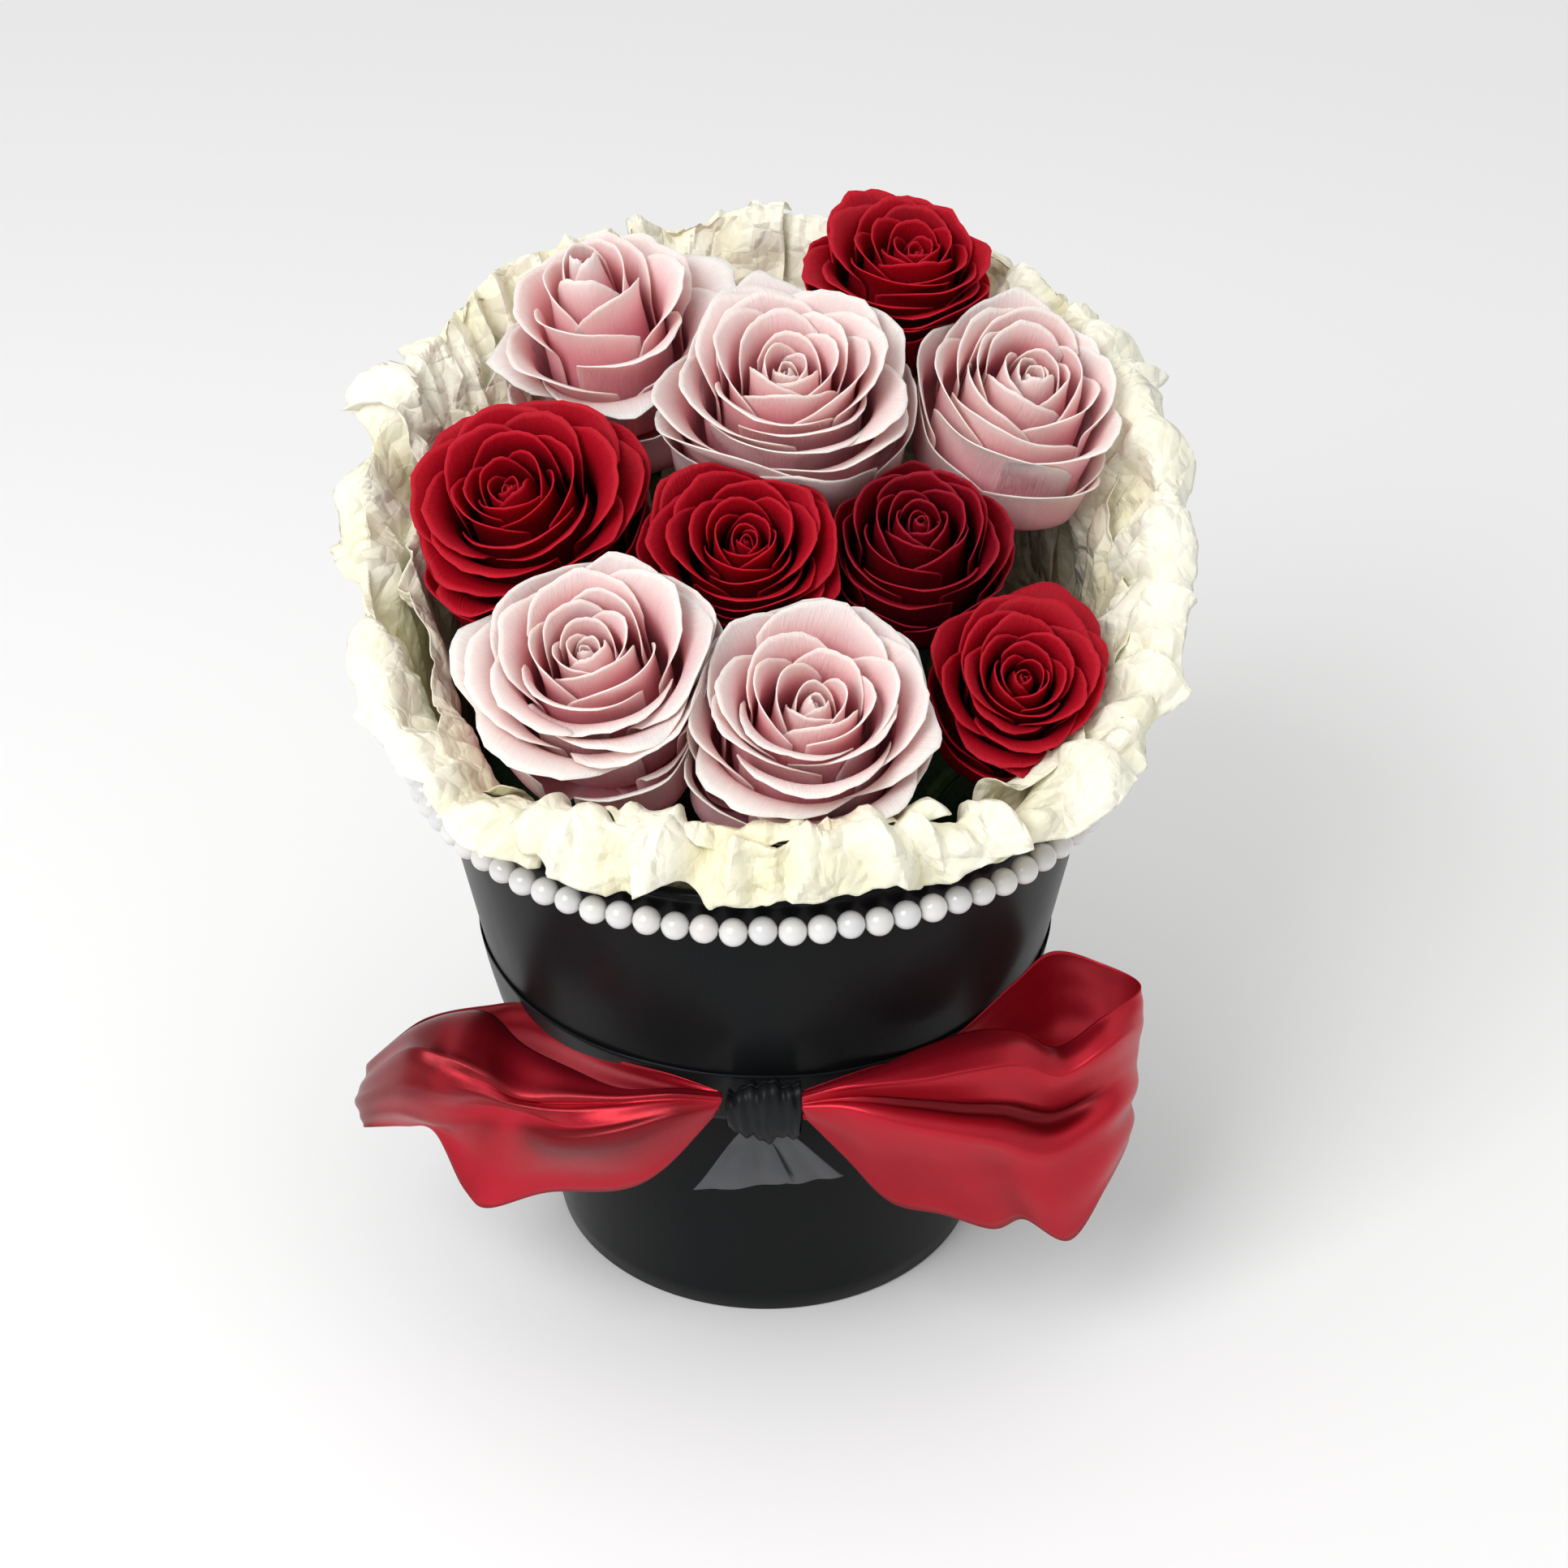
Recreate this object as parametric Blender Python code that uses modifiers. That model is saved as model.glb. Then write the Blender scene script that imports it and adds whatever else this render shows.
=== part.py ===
"""Round flower box: a tapered gloss bucket with a pearl strand and a satin bow, and a lift-out liner of
floral foam that holds ten roses inside a collar of tissue paper.

Units are metres, +Z is up, and the origin is the centre of the bucket's base, on the surface it stands on.
The bow and the lower roses face -Y.
"""

import math

import bmesh
import bpy
from mathutils import Vector

# Bucket
RIM_RADIUS = 0.095
BASE_RADIUS = 0.063
HEIGHT = 0.170
WALL = 0.0020
LIP_RADIUS = 0.0016
BASE_THICKNESS = 0.0030
TURN_STEPS = 56

# What sits in the bucket
GAP = 0.0003
SLIDE_GAP = 0.0006
LINER_WALL = 0.0009
LINER_TOP = 0.161
FOAM_TOP = 0.150
FOAM_JOINT = 0.074
FOAM_CHAMFER = 0.010

# Pearl strand
PEARL_RADIUS = 0.00375
PEARL_COUNT = 82
PEARL_HEIGHT = 0.1615
THREAD_RADIUS = 0.0011
PEARL_STATIONS = (-0.36, 0.0, 0.36)

# Ribbon
RIBBON = 0.0012
WAIST_HEIGHT = 0.094
WAIST_WIDTH = 0.018
KNOT_WIDTH = 0.0195
KNOT_HEIGHT = 0.018
KNOT_DEPTH = 0.0105
KNOT_MIDDLE = 0.0965
KNOT_STAND_OFF = 0.0012
KNOT_ROUNDING = 0.0038
TAIL_STEPS = 4
TAIL_LEAN = 0.0025
TAIL_CUP = 0.0012

# Tails below the knot: name, middle and half width at the knot, middle and half width at the cut end, length
TAILS = (
    ("bow_tail_right", 0.0042, 0.0026, 0.0150, 0.0062, 0.0150),
    ("bow_tail_left", -0.0030, 0.0036, -0.0056, 0.0134, 0.0140),
)

# Roses
STEM_RADIUS = 0.0023
STEM_DEPTH = 0.052
NECK = 0.003
BEND_NEAR = 0.20
BEND_FAR = 0.45
STEM_CLEARANCE = 0.0004
ENTRY_SHARE = 0.66
PRESS_GAP = 0.0004
PRESS_ROUNDS = 6
COLLAR_CLEARANCE = 0.0015

# Tissue collar
TISSUE = 0.0022
TISSUE_FOOT_RADIUS = 0.0835
TISSUE_FOOT_HEIGHT = 0.1535
TISSUE_TUCK = (0.0880, 0.166)
TISSUE_BEND = (0.0922, 0.1745)
TISSUE_COLUMNS = 14
TISSUE_ROWS = 6
TISSUE_FRONT_TOP = 0.181
TISSUE_BACK_RISE = 0.085
TISSUE_TOP_RADIUS = 0.1045
TISSUE_SIDE_FLARE = 0.0105

# name, bloom middle (x, y, z), bloom radius, lean towards -Y, lean towards +X (degrees)
ROSES = (
    ("pink_rose_1", (-0.0375, 0.053, 0.251), 0.0325, 20, -6),
    ("pink_rose_2", (0.0055, 0.027, 0.251), 0.0355, 22, 0),
    ("pink_rose_3", (0.0708, 0.034, 0.245), 0.0308, 24, 8),
    ("pink_rose_4", (-0.0393, -0.044, 0.206), 0.0345, 26, -6),
    ("pink_rose_5", (0.0100, -0.056, 0.199), 0.0345, 24, 4),
    ("red_rose_1", (0.0362, 0.070, 0.266), 0.0265, 16, 4),
    ("red_rose_2", (-0.0636, 0.001, 0.228), 0.0320, 28, -10),
    ("red_rose_3", (-0.0062, -0.013, 0.223), 0.0274, 32, 0),
    ("red_rose_4", (0.0392, -0.007, 0.221), 0.0238, 26, 2),
    ("red_rose_5", (0.0673, -0.040, 0.199), 0.0244, 34, 6),
)

# Bloom outline from the top down to the base, as shares of its radius: (radius, height)
BLOOM_PROFILE = (
    (0.00, 0.30), (0.13, 0.40), (0.26, 0.28), (0.44, 0.40), (0.58, 0.27), (0.82, 0.33),
    (1.00, 0.16), (0.97, -0.16), (0.80, -0.52), (0.50, -0.80), (0.00, -0.90),
)
BLOOM_STEPS = 15
BLOOM_BASE = 0.90
PETALS_ROUND = 5
PETAL_SWELL = 0.07
CALYX_DROP = 0.30
CALYX_TIP = 0.46
CALYX_WAIST = 0.20
CALYX_FOOT = 1.25
SEPALS = 5
STEM_STEPS = 6

# Bow loops, from behind the knot out round the end and back in front of it: (x, y, middle height, half width)
RIGHT_LOOP = (
    (0.0102, -0.0870, 0.0945, 0.007), (0.032, -0.0795, 0.0970, 0.015), (0.060, -0.0640, 0.0975, 0.024),
    (0.084, -0.0470, 0.0945, 0.030), (0.101, -0.0460, 0.0890, 0.033), (0.109, -0.0610, 0.0820, 0.035),
    (0.103, -0.0800, 0.0780, 0.036), (0.076, -0.0960, 0.0770, 0.033), (0.046, -0.1000, 0.0820, 0.025),
    (0.023, -0.0970, 0.0890, 0.015), (0.0102, -0.0930, 0.0935, 0.008),
)
LEFT_LOOP = (
    (-0.0102, -0.0870, 0.0945, 0.007), (-0.032, -0.0795, 0.0950, 0.014), (-0.060, -0.0640, 0.0930, 0.021),
    (-0.086, -0.0460, 0.0880, 0.025), (-0.104, -0.0450, 0.0820, 0.026), (-0.112, -0.0590, 0.0770, 0.026),
    (-0.105, -0.0770, 0.0740, 0.027), (-0.078, -0.0940, 0.0740, 0.026), (-0.046, -0.0990, 0.0810, 0.021),
    (-0.023, -0.0965, 0.0885, 0.014), (-0.0102, -0.0930, 0.0935, 0.008),
)
LOOP_STATIONS = 26
LOOP_ROWS = 5

TISSUE_SECTORS = (
    ("tissue_front", -125, -55), ("tissue_right", -54, 16), ("tissue_back_right", 17, 88),
    ("tissue_back_left", 89, 161), ("tissue_left", 162, 234),
)


def clear_scene():
    for obj in list(bpy.data.objects):
        bpy.data.objects.remove(obj)


def new_collection(name, hidden=False):
    collection = bpy.data.collections.new(name)
    bpy.context.scene.collection.children.link(collection)
    collection.hide_render = hidden
    return collection


def new_material(name, colour, roughness, metallic=0.0):
    material = bpy.data.materials.new(name)
    material.use_nodes = True
    shader = material.node_tree.nodes["Principled BSDF"]
    shader.inputs["Base Color"].default_value = (*colour, 1.0)
    shader.inputs["Roughness"].default_value = roughness
    shader.inputs["Metallic"].default_value = metallic
    return material


def add_object(name, data, material, collection):
    obj = bpy.data.objects.new(name, data)
    data.materials.append(material)
    collection.objects.link(obj)
    return obj


def add_bmesh(name, bm, material, collection):
    mesh = bpy.data.meshes.new(name)
    bm.to_mesh(mesh)
    bm.free()
    mesh.shade_smooth()
    mesh.set_sharp_from_angle(angle=math.radians(35))
    return add_object(name, mesh, material, collection)


def wall_radius(z):
    """Outer radius of the bucket's wall at height z."""
    return BASE_RADIUS + (RIM_RADIUS - BASE_RADIUS) * z / HEIGHT


def turned(name, profile, material, collection, steps=TURN_STEPS, closed=True):
    """A profile of (radius, height), running down its outer side, turned about +Z by a Screw modifier."""
    mesh = bpy.data.meshes.new(name)
    edges = [(i, i + 1) for i in range(len(profile) - 1)]
    if closed:
        edges.append((len(profile) - 1, 0))
    mesh.from_pydata([(r, 0, z) for r, z in profile], edges, [])
    obj = add_object(name, mesh, material, collection)
    screw = obj.modifiers.new("turn", "SCREW")
    screw.axis = "Z"
    screw.steps = steps
    screw.render_steps = steps
    screw.use_merge_vertices = True
    screw.merge_threshold = 0.00001
    screw.use_smooth_shade = True
    return obj


def evaluated_mesh(obj):
    """The object's mesh with its modifiers applied and its loose caps welded."""
    graph = bpy.context.evaluated_depsgraph_get()
    mesh = bpy.data.meshes.new_from_object(obj.evaluated_get(graph))
    bm = bmesh.new()
    bm.from_mesh(mesh)
    bmesh.ops.remove_doubles(bm, verts=bm.verts, dist=0.00001)
    bmesh.ops.recalc_face_normals(bm, faces=bm.faces)
    bm.to_mesh(mesh)
    bm.free()
    return mesh


def tube(name, points, radius, material, collection, radii=None, cyclic=False, resolution=2):
    """A round tube along points, from a curve with a bevel. radii scale it point by point."""
    curve = bpy.data.curves.new(name, "CURVE")
    curve.dimensions = "3D"
    curve.bevel_depth = radius
    curve.bevel_resolution = resolution
    curve.use_fill_caps = not cyclic
    spline = curve.splines.new("POLY")
    spline.points.add(len(points) - 1)
    for i, place in enumerate(points):
        spline.points[i].co = (*place, 1)
        spline.points[i].radius = radii[i] if radii else 1.0
    spline.use_cyclic_u = cyclic
    return add_object(name, curve, material, collection)


def smooth_path(stations, count, cyclic=False):
    """count points of a Catmull-Rom curve through stations, which may be tuples of any length."""
    last = len(stations) - 1
    out = []
    for k in range(count):
        at = k * last / (count - 1)
        i = min(int(at), last - 1)
        t = at - i
        a, b, c, d = (stations[min(max(i + o, 0), last)] for o in (-1, 0, 1, 2))
        out.append([
            0.5 * (2 * q + (r - p) * t + (2 * p - 5 * q + 4 * r - s) * t * t + (3 * q - p - 3 * r + s) * t ** 3)
            for p, q, r, s in zip(a, b, c, d)
        ])
    return out


def grid_surface(name, rows, material, collection, thickness, offset):
    """An open surface through rows of points, thickened by Solidify."""
    bm = bmesh.new()
    verts = [[bm.verts.new(p) for p in row] for row in rows]
    for lower, upper in zip(verts, verts[1:]):
        for i in range(len(lower) - 1):
            bm.faces.new((lower[i], lower[i + 1], upper[i + 1], upper[i]))
    obj = add_bmesh(name, bm, material, collection)
    solidify = obj.modifiers.new("thickness", "SOLIDIFY")
    solidify.thickness = thickness
    solidify.offset = offset
    return obj


def lean_axis(forward, sideways):
    """Unit axis of a rose that leans towards -Y and +X by these angles in degrees."""
    return Vector((math.tan(math.radians(sideways)), -math.tan(math.radians(forward)), 1)).normalized()


# Bucket

def make_bucket(gloss_black, collection):
    """The conical wall with a rolled lip, and the base board set inside its foot."""
    lip_z = HEIGHT - LIP_RADIUS
    lip_r = wall_radius(lip_z) - LIP_RADIUS + 0.0006
    lip = [
        (lip_r + LIP_RADIUS * math.cos(a), lip_z + LIP_RADIUS * math.sin(a))
        for a in (math.radians(d) for d in (90, 45, 0, -45))
    ]
    inner_top = (wall_radius(HEIGHT) - WALL, lip_z + LIP_RADIUS * 0.6)
    profile = [
        inner_top, *lip,
        (wall_radius(lip_z - 0.0025), lip_z - 0.0025),
        (wall_radius(HEIGHT / 2), HEIGHT / 2),
        (wall_radius(0.0), 0.0),
        (wall_radius(0.0) - WALL, 0.0),
        (wall_radius(HEIGHT / 2) - WALL, HEIGHT / 2),
    ]
    turned("bucket_wall", profile, gloss_black, collection)
    foot = wall_radius(0.0) - WALL - GAP
    top = wall_radius(BASE_THICKNESS) - WALL - GAP
    profile = [(0, BASE_THICKNESS), (top, BASE_THICKNESS), (foot, 0), (0, 0)]
    turned("base_board", profile, gloss_black, collection, closed=False)


def make_pearl_strand(pearl, collection):
    """Beads moulded on one thread: a closed tube whose radius swells at each bead."""
    ring = wall_radius(PEARL_HEIGHT) + GAP + PEARL_RADIUS
    pitch = 2 * math.pi * ring / PEARL_COUNT
    points, radii = [], []
    for bead in range(PEARL_COUNT):
        for station in PEARL_STATIONS:
            angle = (bead + station) * 2 * math.pi / PEARL_COUNT - math.pi / 2
            away = station * pitch
            swell = math.sqrt(max(PEARL_RADIUS ** 2 - away ** 2, THREAD_RADIUS ** 2))
            points.append((ring * math.cos(angle), ring * math.sin(angle), PEARL_HEIGHT))
            radii.append(swell / PEARL_RADIUS)
    tube("pearl_strand", points, PEARL_RADIUS, pearl, collection, radii, cyclic=True)


# Ribbon

def make_waist_ribbon(black_satin, collection):
    top, bottom = WAIST_HEIGHT + WAIST_WIDTH / 2, WAIST_HEIGHT - WAIST_WIDTH / 2
    inner = [(wall_radius(z) + GAP, z) for z in (bottom, top)]
    outer = [(r + RIBBON * 0.7, z) for r, z in reversed(inner)]
    turned("waist_ribbon", outer + inner, black_satin, collection)


def make_bow_loop(name, stations, red_satin, collection):
    """A wide ribbon bent round into a loop beside the knot and gathered to a narrow neck at both ends."""
    lean = (RIM_RADIUS - BASE_RADIUS) / HEIGHT
    rows = []
    for x, y, middle, half in smooth_path(stations, LOOP_STATIONS):
        out = Vector((x, y, 0)).normalized()
        row = []
        for k in range(LOOP_ROWS):
            rise = half * (2 * k / (LOOP_ROWS - 1) - 1)
            row.append(Vector((x, y, middle + rise)) + out * lean * rise)
        rows.append(row)
    return grid_surface(name, rows, red_satin, collection, RIBBON, 0.0)


def make_knot(black_satin, collection):
    """The black tie round the bow's middle."""
    bm = bmesh.new()
    bmesh.ops.create_cube(bm, size=1.0)
    bmesh.ops.scale(bm, vec=(KNOT_WIDTH, KNOT_DEPTH, KNOT_HEIGHT), verts=bm.verts)
    knot = add_bmesh("bow_knot", bm, black_satin, collection)
    knot.location = (0, -(knot_back() + KNOT_DEPTH / 2 + KNOT_STAND_OFF), KNOT_MIDDLE)
    bevel = knot.modifiers.new("soft_edges", "BEVEL")
    bevel.width = KNOT_ROUNDING
    bevel.segments = 3


def knot_back():
    """How far in front of the bucket's axis the waist ribbon's face is, with room for the knot."""
    return wall_radius(WAIST_HEIGHT) + GAP + RIBBON + GAP


def make_tails(black_satin, collection):
    """Two short tails that hang from the knot, narrow at the knot and cut straight."""
    top = KNOT_MIDDLE - KNOT_HEIGHT / 2 - GAP
    front = -(knot_back() + KNOT_DEPTH * 0.55)
    for name, near, near_half, far, far_half, length in TAILS:
        rows = []
        for k in range(TAIL_STEPS + 1):
            t = k / TAIL_STEPS
            middle, half = near + (far - near) * t, near_half + (far_half - near_half) * t
            y = front - TAIL_LEAN * math.sin(math.pi * t / 2)
            rows.append([
                (middle + half * s, y + TAIL_CUP * (1 - s * s), top - length * t) for s in (-1, -0.5, 0, 0.5, 1)
            ])
        grid_surface(name, rows, black_satin, collection, RIBBON, 0.0)


# Liner and foam

def make_liner(film, collection):
    """A thin tapered pot that holds the foam and lifts out of the bucket."""
    def outer(z):
        return wall_radius(z) - WALL - SLIDE_GAP
    floor = BASE_THICKNESS + GAP
    profile = [
        (outer(LINER_TOP), LINER_TOP), (outer(floor), floor), (0, floor),
    ]
    inside = [
        (0, floor + LINER_WALL), (outer(floor + LINER_WALL) - LINER_WALL, floor + LINER_WALL),
        (outer(LINER_TOP) - LINER_WALL, LINER_TOP),
    ]
    return turned("liner_pot", profile + inside, film, collection)


def foam_radius(z):
    return wall_radius(z) - WALL - SLIDE_GAP - LINER_WALL - GAP


def make_foam(foam, collection, cutters):
    """Two stacked blocks cut to the liner's taper. The stems' holes are in the upper one."""
    floor = BASE_THICKNESS + GAP + LINER_WALL + GAP
    lower_top = FOAM_JOINT - GAP
    turned("foam_lower_block", [
        (0, lower_top), (foam_radius(lower_top), lower_top), (foam_radius(floor), floor), (0, floor),
    ], foam, collection, closed=False)
    chamfer_z = FOAM_TOP - FOAM_CHAMFER
    upper = turned("foam_upper_block", [
        (0, FOAM_TOP), (foam_radius(FOAM_TOP) - FOAM_CHAMFER, FOAM_TOP), (foam_radius(chamfer_z), chamfer_z),
        (foam_radius(FOAM_JOINT), FOAM_JOINT), (0, FOAM_JOINT),
    ], foam, collection, closed=False)
    for cutter in cutters:
        cut = upper.modifiers.new(cutter.name, "BOOLEAN")
        cut.operation = "DIFFERENCE"
        cut.object = cutter


# Roses

def tissue_edge(angle):
    """(radius, height) of the collar's top edge: low in front, high behind, widest at the sides."""
    side = math.cos(angle) ** 2
    back = (1 + math.sin(angle)) / 2
    return TISSUE_TOP_RADIUS + TISSUE_SIDE_FLARE * side, TISSUE_FRONT_TOP + TISSUE_BACK_RISE * back


def collar_radius(angle, z):
    """Radius of the collar's inner face at height z, carried on in a straight line above its edge."""
    top_r, top_z = tissue_edge(angle)
    share = (z - TISSUE_BEND[1]) / (top_z - TISSUE_BEND[1])
    return TISSUE_BEND[0] + (top_r - TISSUE_BEND[0]) * max(share, 0)


def press_against(bm, middle, radius, others):
    """Flattens a bloom where it meets its neighbours and the collar, as petals do when roses are packed.

    A vertex pushed off one neighbour can be pushed onto another, so the rounds repeat until none is."""
    planes = []
    for other_middle, other_radius in others:
        apart = other_middle - middle
        share = 0.5 + (radius - other_radius) / (2 * apart.length)
        planes.append((apart.normalized(), apart.length * share - PRESS_GAP / 2))
    for _ in range(PRESS_ROUNDS):
        for normal, limit in planes:
            for vert in bm.verts:
                over = (vert.co - middle).dot(normal) - limit
                if over > 0:
                    vert.co -= normal * over
        for vert in bm.verts:
            out = math.hypot(vert.co.x, vert.co.y)
            limit = collar_radius(math.atan2(vert.co.y, vert.co.x), vert.co.z) - COLLAR_CLEARANCE
            if out > limit:
                vert.co.xy *= limit / out


def petal_swell(place, radius):
    """How far a bloom's rings bulge at each petal, inner and outer petals standing in each other's gaps."""
    ring = math.hypot(place.x, place.y) / radius
    turn = 0 if ring > 0.7 else math.pi
    return 1 + PETAL_SWELL * math.cos(PETALS_ROUND * math.atan2(place.y, place.x) + turn) * min(ring * 2, 1)


def make_bloom(name, middle, radius, axis, others, material, collection):
    profile = [(r * radius, z * radius) for r, z in BLOOM_PROFILE]
    turned_bloom = turned(name + "_turned", profile, material, collection, BLOOM_STEPS, closed=False)
    mesh = evaluated_mesh(turned_bloom)
    bpy.data.objects.remove(turned_bloom)
    bm = bmesh.new()
    bm.from_mesh(mesh)
    turn = axis.to_track_quat("Z", "Y").to_matrix()
    for vert in bm.verts:
        vert.co.xy *= petal_swell(vert.co, radius)
        vert.co = turn @ vert.co + middle
    press_against(bm, middle, radius, others)
    return add_bmesh(name, bm, material, collection)


def make_calyx(name, middle, radius, axis, material, collection):
    """The hip and its sepals: a cone whose every second top corner is drawn out."""
    bm = bmesh.new()
    depth = radius * CALYX_DROP
    bmesh.ops.create_cone(bm, cap_ends=True, segments=2 * SEPALS, radius1=STEM_RADIUS * CALYX_FOOT,
                          radius2=radius * CALYX_WAIST, depth=depth)
    for vert in bm.verts:
        if vert.co.z > 0:
            corner = round(math.atan2(vert.co.y, vert.co.x) * SEPALS / math.pi)
            if corner % 2 == 0:
                vert.co.xy *= CALYX_TIP / CALYX_WAIST
    obj = add_bmesh(name, bm, material, collection)
    obj.rotation_mode = "QUATERNION"
    obj.rotation_quaternion = axis.to_track_quat("Z", "Y")
    obj.location = middle - axis * (radius * BLOOM_BASE + GAP + depth / 2)
    return obj


def stem_path(middle, radius, axis):
    """From the calyx along the rose's own axis, bending to plumb where it enters the foam."""
    neck = middle - axis * (radius * (BLOOM_BASE + CALYX_DROP) + 2 * GAP)
    top = neck - axis * NECK
    entry = Vector((middle.x * ENTRY_SHARE, middle.y * ENTRY_SHARE, FOAM_TOP))
    reach = (top - entry).length
    a, b = top - axis * reach * BEND_NEAR, entry + Vector((0, 0, reach * BEND_FAR))
    path = [neck]
    for k in range(STEM_STEPS + 1):
        t = k / STEM_STEPS
        s = 1 - t
        path.append(top * s ** 3 + a * 3 * s * s * t + b * 3 * s * t * t + entry * t ** 3)
    return path


def make_rose(rose, all_roses, materials, collection, cutters):
    name, place, radius, forward, sideways = rose
    middle, axis = Vector(place), lean_axis(forward, sideways)
    others = [(Vector(o[1]), o[2]) for o in all_roses if o[0] != name]
    others = [o for o in others if (o[0] - middle).length < (radius + o[1]) * (1 + PETAL_SWELL)]
    petal = materials["pink_petal" if name.startswith("pink") else "red_petal"]
    make_bloom(name + "_bloom", middle, radius, axis, others, petal, collection)
    make_calyx(name + "_calyx", middle, radius, axis, materials["sepal"], collection)
    path = stem_path(middle, radius, axis)
    foot = path[-1] - Vector((0, 0, STEM_DEPTH))
    tube(name + "_stem", [*path, foot], STEM_RADIUS, materials["stem"], collection)
    above = path[-1] + Vector((0, 0, 0.004))
    below = foot - Vector((0, 0, 0.0006))
    hole = tube(name + "_hole", [above, below], STEM_RADIUS + STEM_CLEARANCE, materials["foam"], cutters)
    mesh = evaluated_mesh(hole)
    bpy.data.objects.remove(hole)
    cutter = add_object(name + "_hole", mesh, materials["foam"], cutters)
    cutter.hide_render = True
    cutter.display_type = "WIRE"
    return cutter


# Tissue

def make_tissue(name, start, stop, paper, collection):
    """One folded sheet: tucked in at the foam's edge, over the lip, and flared out and up."""
    rows = []
    for j in range(TISSUE_ROWS + 1):
        row = []
        for i in range(TISSUE_COLUMNS + 1):
            angle = math.radians(start + (stop - start) * i / TISSUE_COLUMNS)
            top_r, top_z = tissue_edge(angle)
            stations = (
                (TISSUE_FOOT_RADIUS, TISSUE_FOOT_HEIGHT), TISSUE_TUCK, TISSUE_BEND,
                ((TISSUE_BEND[0] + top_r) / 2, (TISSUE_BEND[1] + top_z) / 2), (top_r, top_z),
            )
            r, z = smooth_path(stations, TISSUE_ROWS + 1)[j]
            row.append((r * math.cos(angle), r * math.sin(angle), z))
        rows.append(row)
    grid_surface(name, rows, paper, collection, TISSUE, 1.0)


def main():
    clear_scene()
    collection = new_collection("flower_box")
    cutters = new_collection("cutters", hidden=True)
    materials = {
        "gloss_black": new_material("gloss_black", (0.010, 0.011, 0.012), 0.12),
        "pearl": new_material("pearl", (0.82, 0.82, 0.80), 0.22),
        "black_satin": new_material("black_satin", (0.030, 0.032, 0.036), 0.38),
        "red_satin": new_material("red_satin", (0.42, 0.012, 0.035), 0.42),
        "liner_film": new_material("liner_film", (0.016, 0.017, 0.020), 0.30),
        "foam": new_material("foam", (0.05, 0.19, 0.07), 0.95),
        "pink_petal": new_material("pink_petal", (0.85, 0.50, 0.49), 0.60),
        "red_petal": new_material("red_petal", (0.38, 0.003, 0.018), 0.55),
        "sepal": new_material("sepal", (0.10, 0.22, 0.06), 0.60),
        "stem": new_material("stem", (0.12, 0.26, 0.08), 0.55),
        "tissue": new_material("tissue", (0.90, 0.89, 0.78), 0.70),
    }
    make_bucket(materials["gloss_black"], collection)
    make_pearl_strand(materials["pearl"], collection)
    make_waist_ribbon(materials["black_satin"], collection)
    make_bow_loop("bow_loop_right", RIGHT_LOOP, materials["red_satin"], collection)
    make_bow_loop("bow_loop_left", LEFT_LOOP, materials["red_satin"], collection)
    make_knot(materials["black_satin"], collection)
    make_tails(materials["black_satin"], collection)
    make_liner(materials["liner_film"], collection)
    holes = [make_rose(rose, ROSES, materials, collection, cutters) for rose in ROSES]
    make_foam(materials["foam"], collection, holes)
    for name, start, stop in TISSUE_SECTORS:
        make_tissue(name, start, stop, materials["tissue"], collection)


main()
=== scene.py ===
"""Looks of the round flower box: petalled roses, crumpled tissue, a satin bow, pearls and a gloss bucket.

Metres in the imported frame: +Z up, the bow and the camera towards -Y. Every piece rides on the bucket or on the
lift-out insert.
"""

import math

import bpy
import numpy as np
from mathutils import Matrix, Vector
from mathutils.geometry import delaunay_2d_cdt


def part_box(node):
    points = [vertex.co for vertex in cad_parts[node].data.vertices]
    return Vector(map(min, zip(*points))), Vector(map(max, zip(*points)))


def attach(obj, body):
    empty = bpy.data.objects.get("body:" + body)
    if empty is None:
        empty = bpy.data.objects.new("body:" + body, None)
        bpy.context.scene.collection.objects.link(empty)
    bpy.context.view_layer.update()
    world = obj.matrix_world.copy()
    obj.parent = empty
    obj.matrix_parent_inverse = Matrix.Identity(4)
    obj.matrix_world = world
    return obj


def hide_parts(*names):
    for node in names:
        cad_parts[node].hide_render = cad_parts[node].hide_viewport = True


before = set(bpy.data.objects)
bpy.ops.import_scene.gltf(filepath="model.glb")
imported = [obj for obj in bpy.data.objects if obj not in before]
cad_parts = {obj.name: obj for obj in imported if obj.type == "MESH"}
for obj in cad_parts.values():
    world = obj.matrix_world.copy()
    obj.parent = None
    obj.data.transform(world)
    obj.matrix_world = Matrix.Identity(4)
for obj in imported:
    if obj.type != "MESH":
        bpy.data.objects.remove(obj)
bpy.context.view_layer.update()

# Camera, floor and light
CAMERA_ELEVATION = 33.5
CAMERA_DISTANCE = 0.8444
CAMERA_AIM = (0.0053, 0.0, 0.1417)
LENS = 68.6
SENSOR = 36.0
FLOOR_SIDE = 60.0
WORLD_LOW = 0.48
WORLD_HIGH = 0.92
KEY_PLACE = (-0.65, -0.85, 1.15)
KEY_SIZE = 0.8
KEY_POWER = 13.5

# Bucket: the lip stands proud of the wall, and the foot's edges are slightly rounded
WALL = 0.0020
LIP_RADIUS = 0.0016
LIP_PROUD = 0.0009
LIP_OUT = 0.0006
LIP_TURN = (-0.9, 2.6)
LIP_BELOW_OUTSIDE = 0.0026
LIP_BELOW_INSIDE = 0.002
FOOT_HEIGHT = 0.0006
FOOT_INSET = 0.0004
BUCKET_STEPS = 192
WELD_DISTANCE = 0.00002

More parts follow.
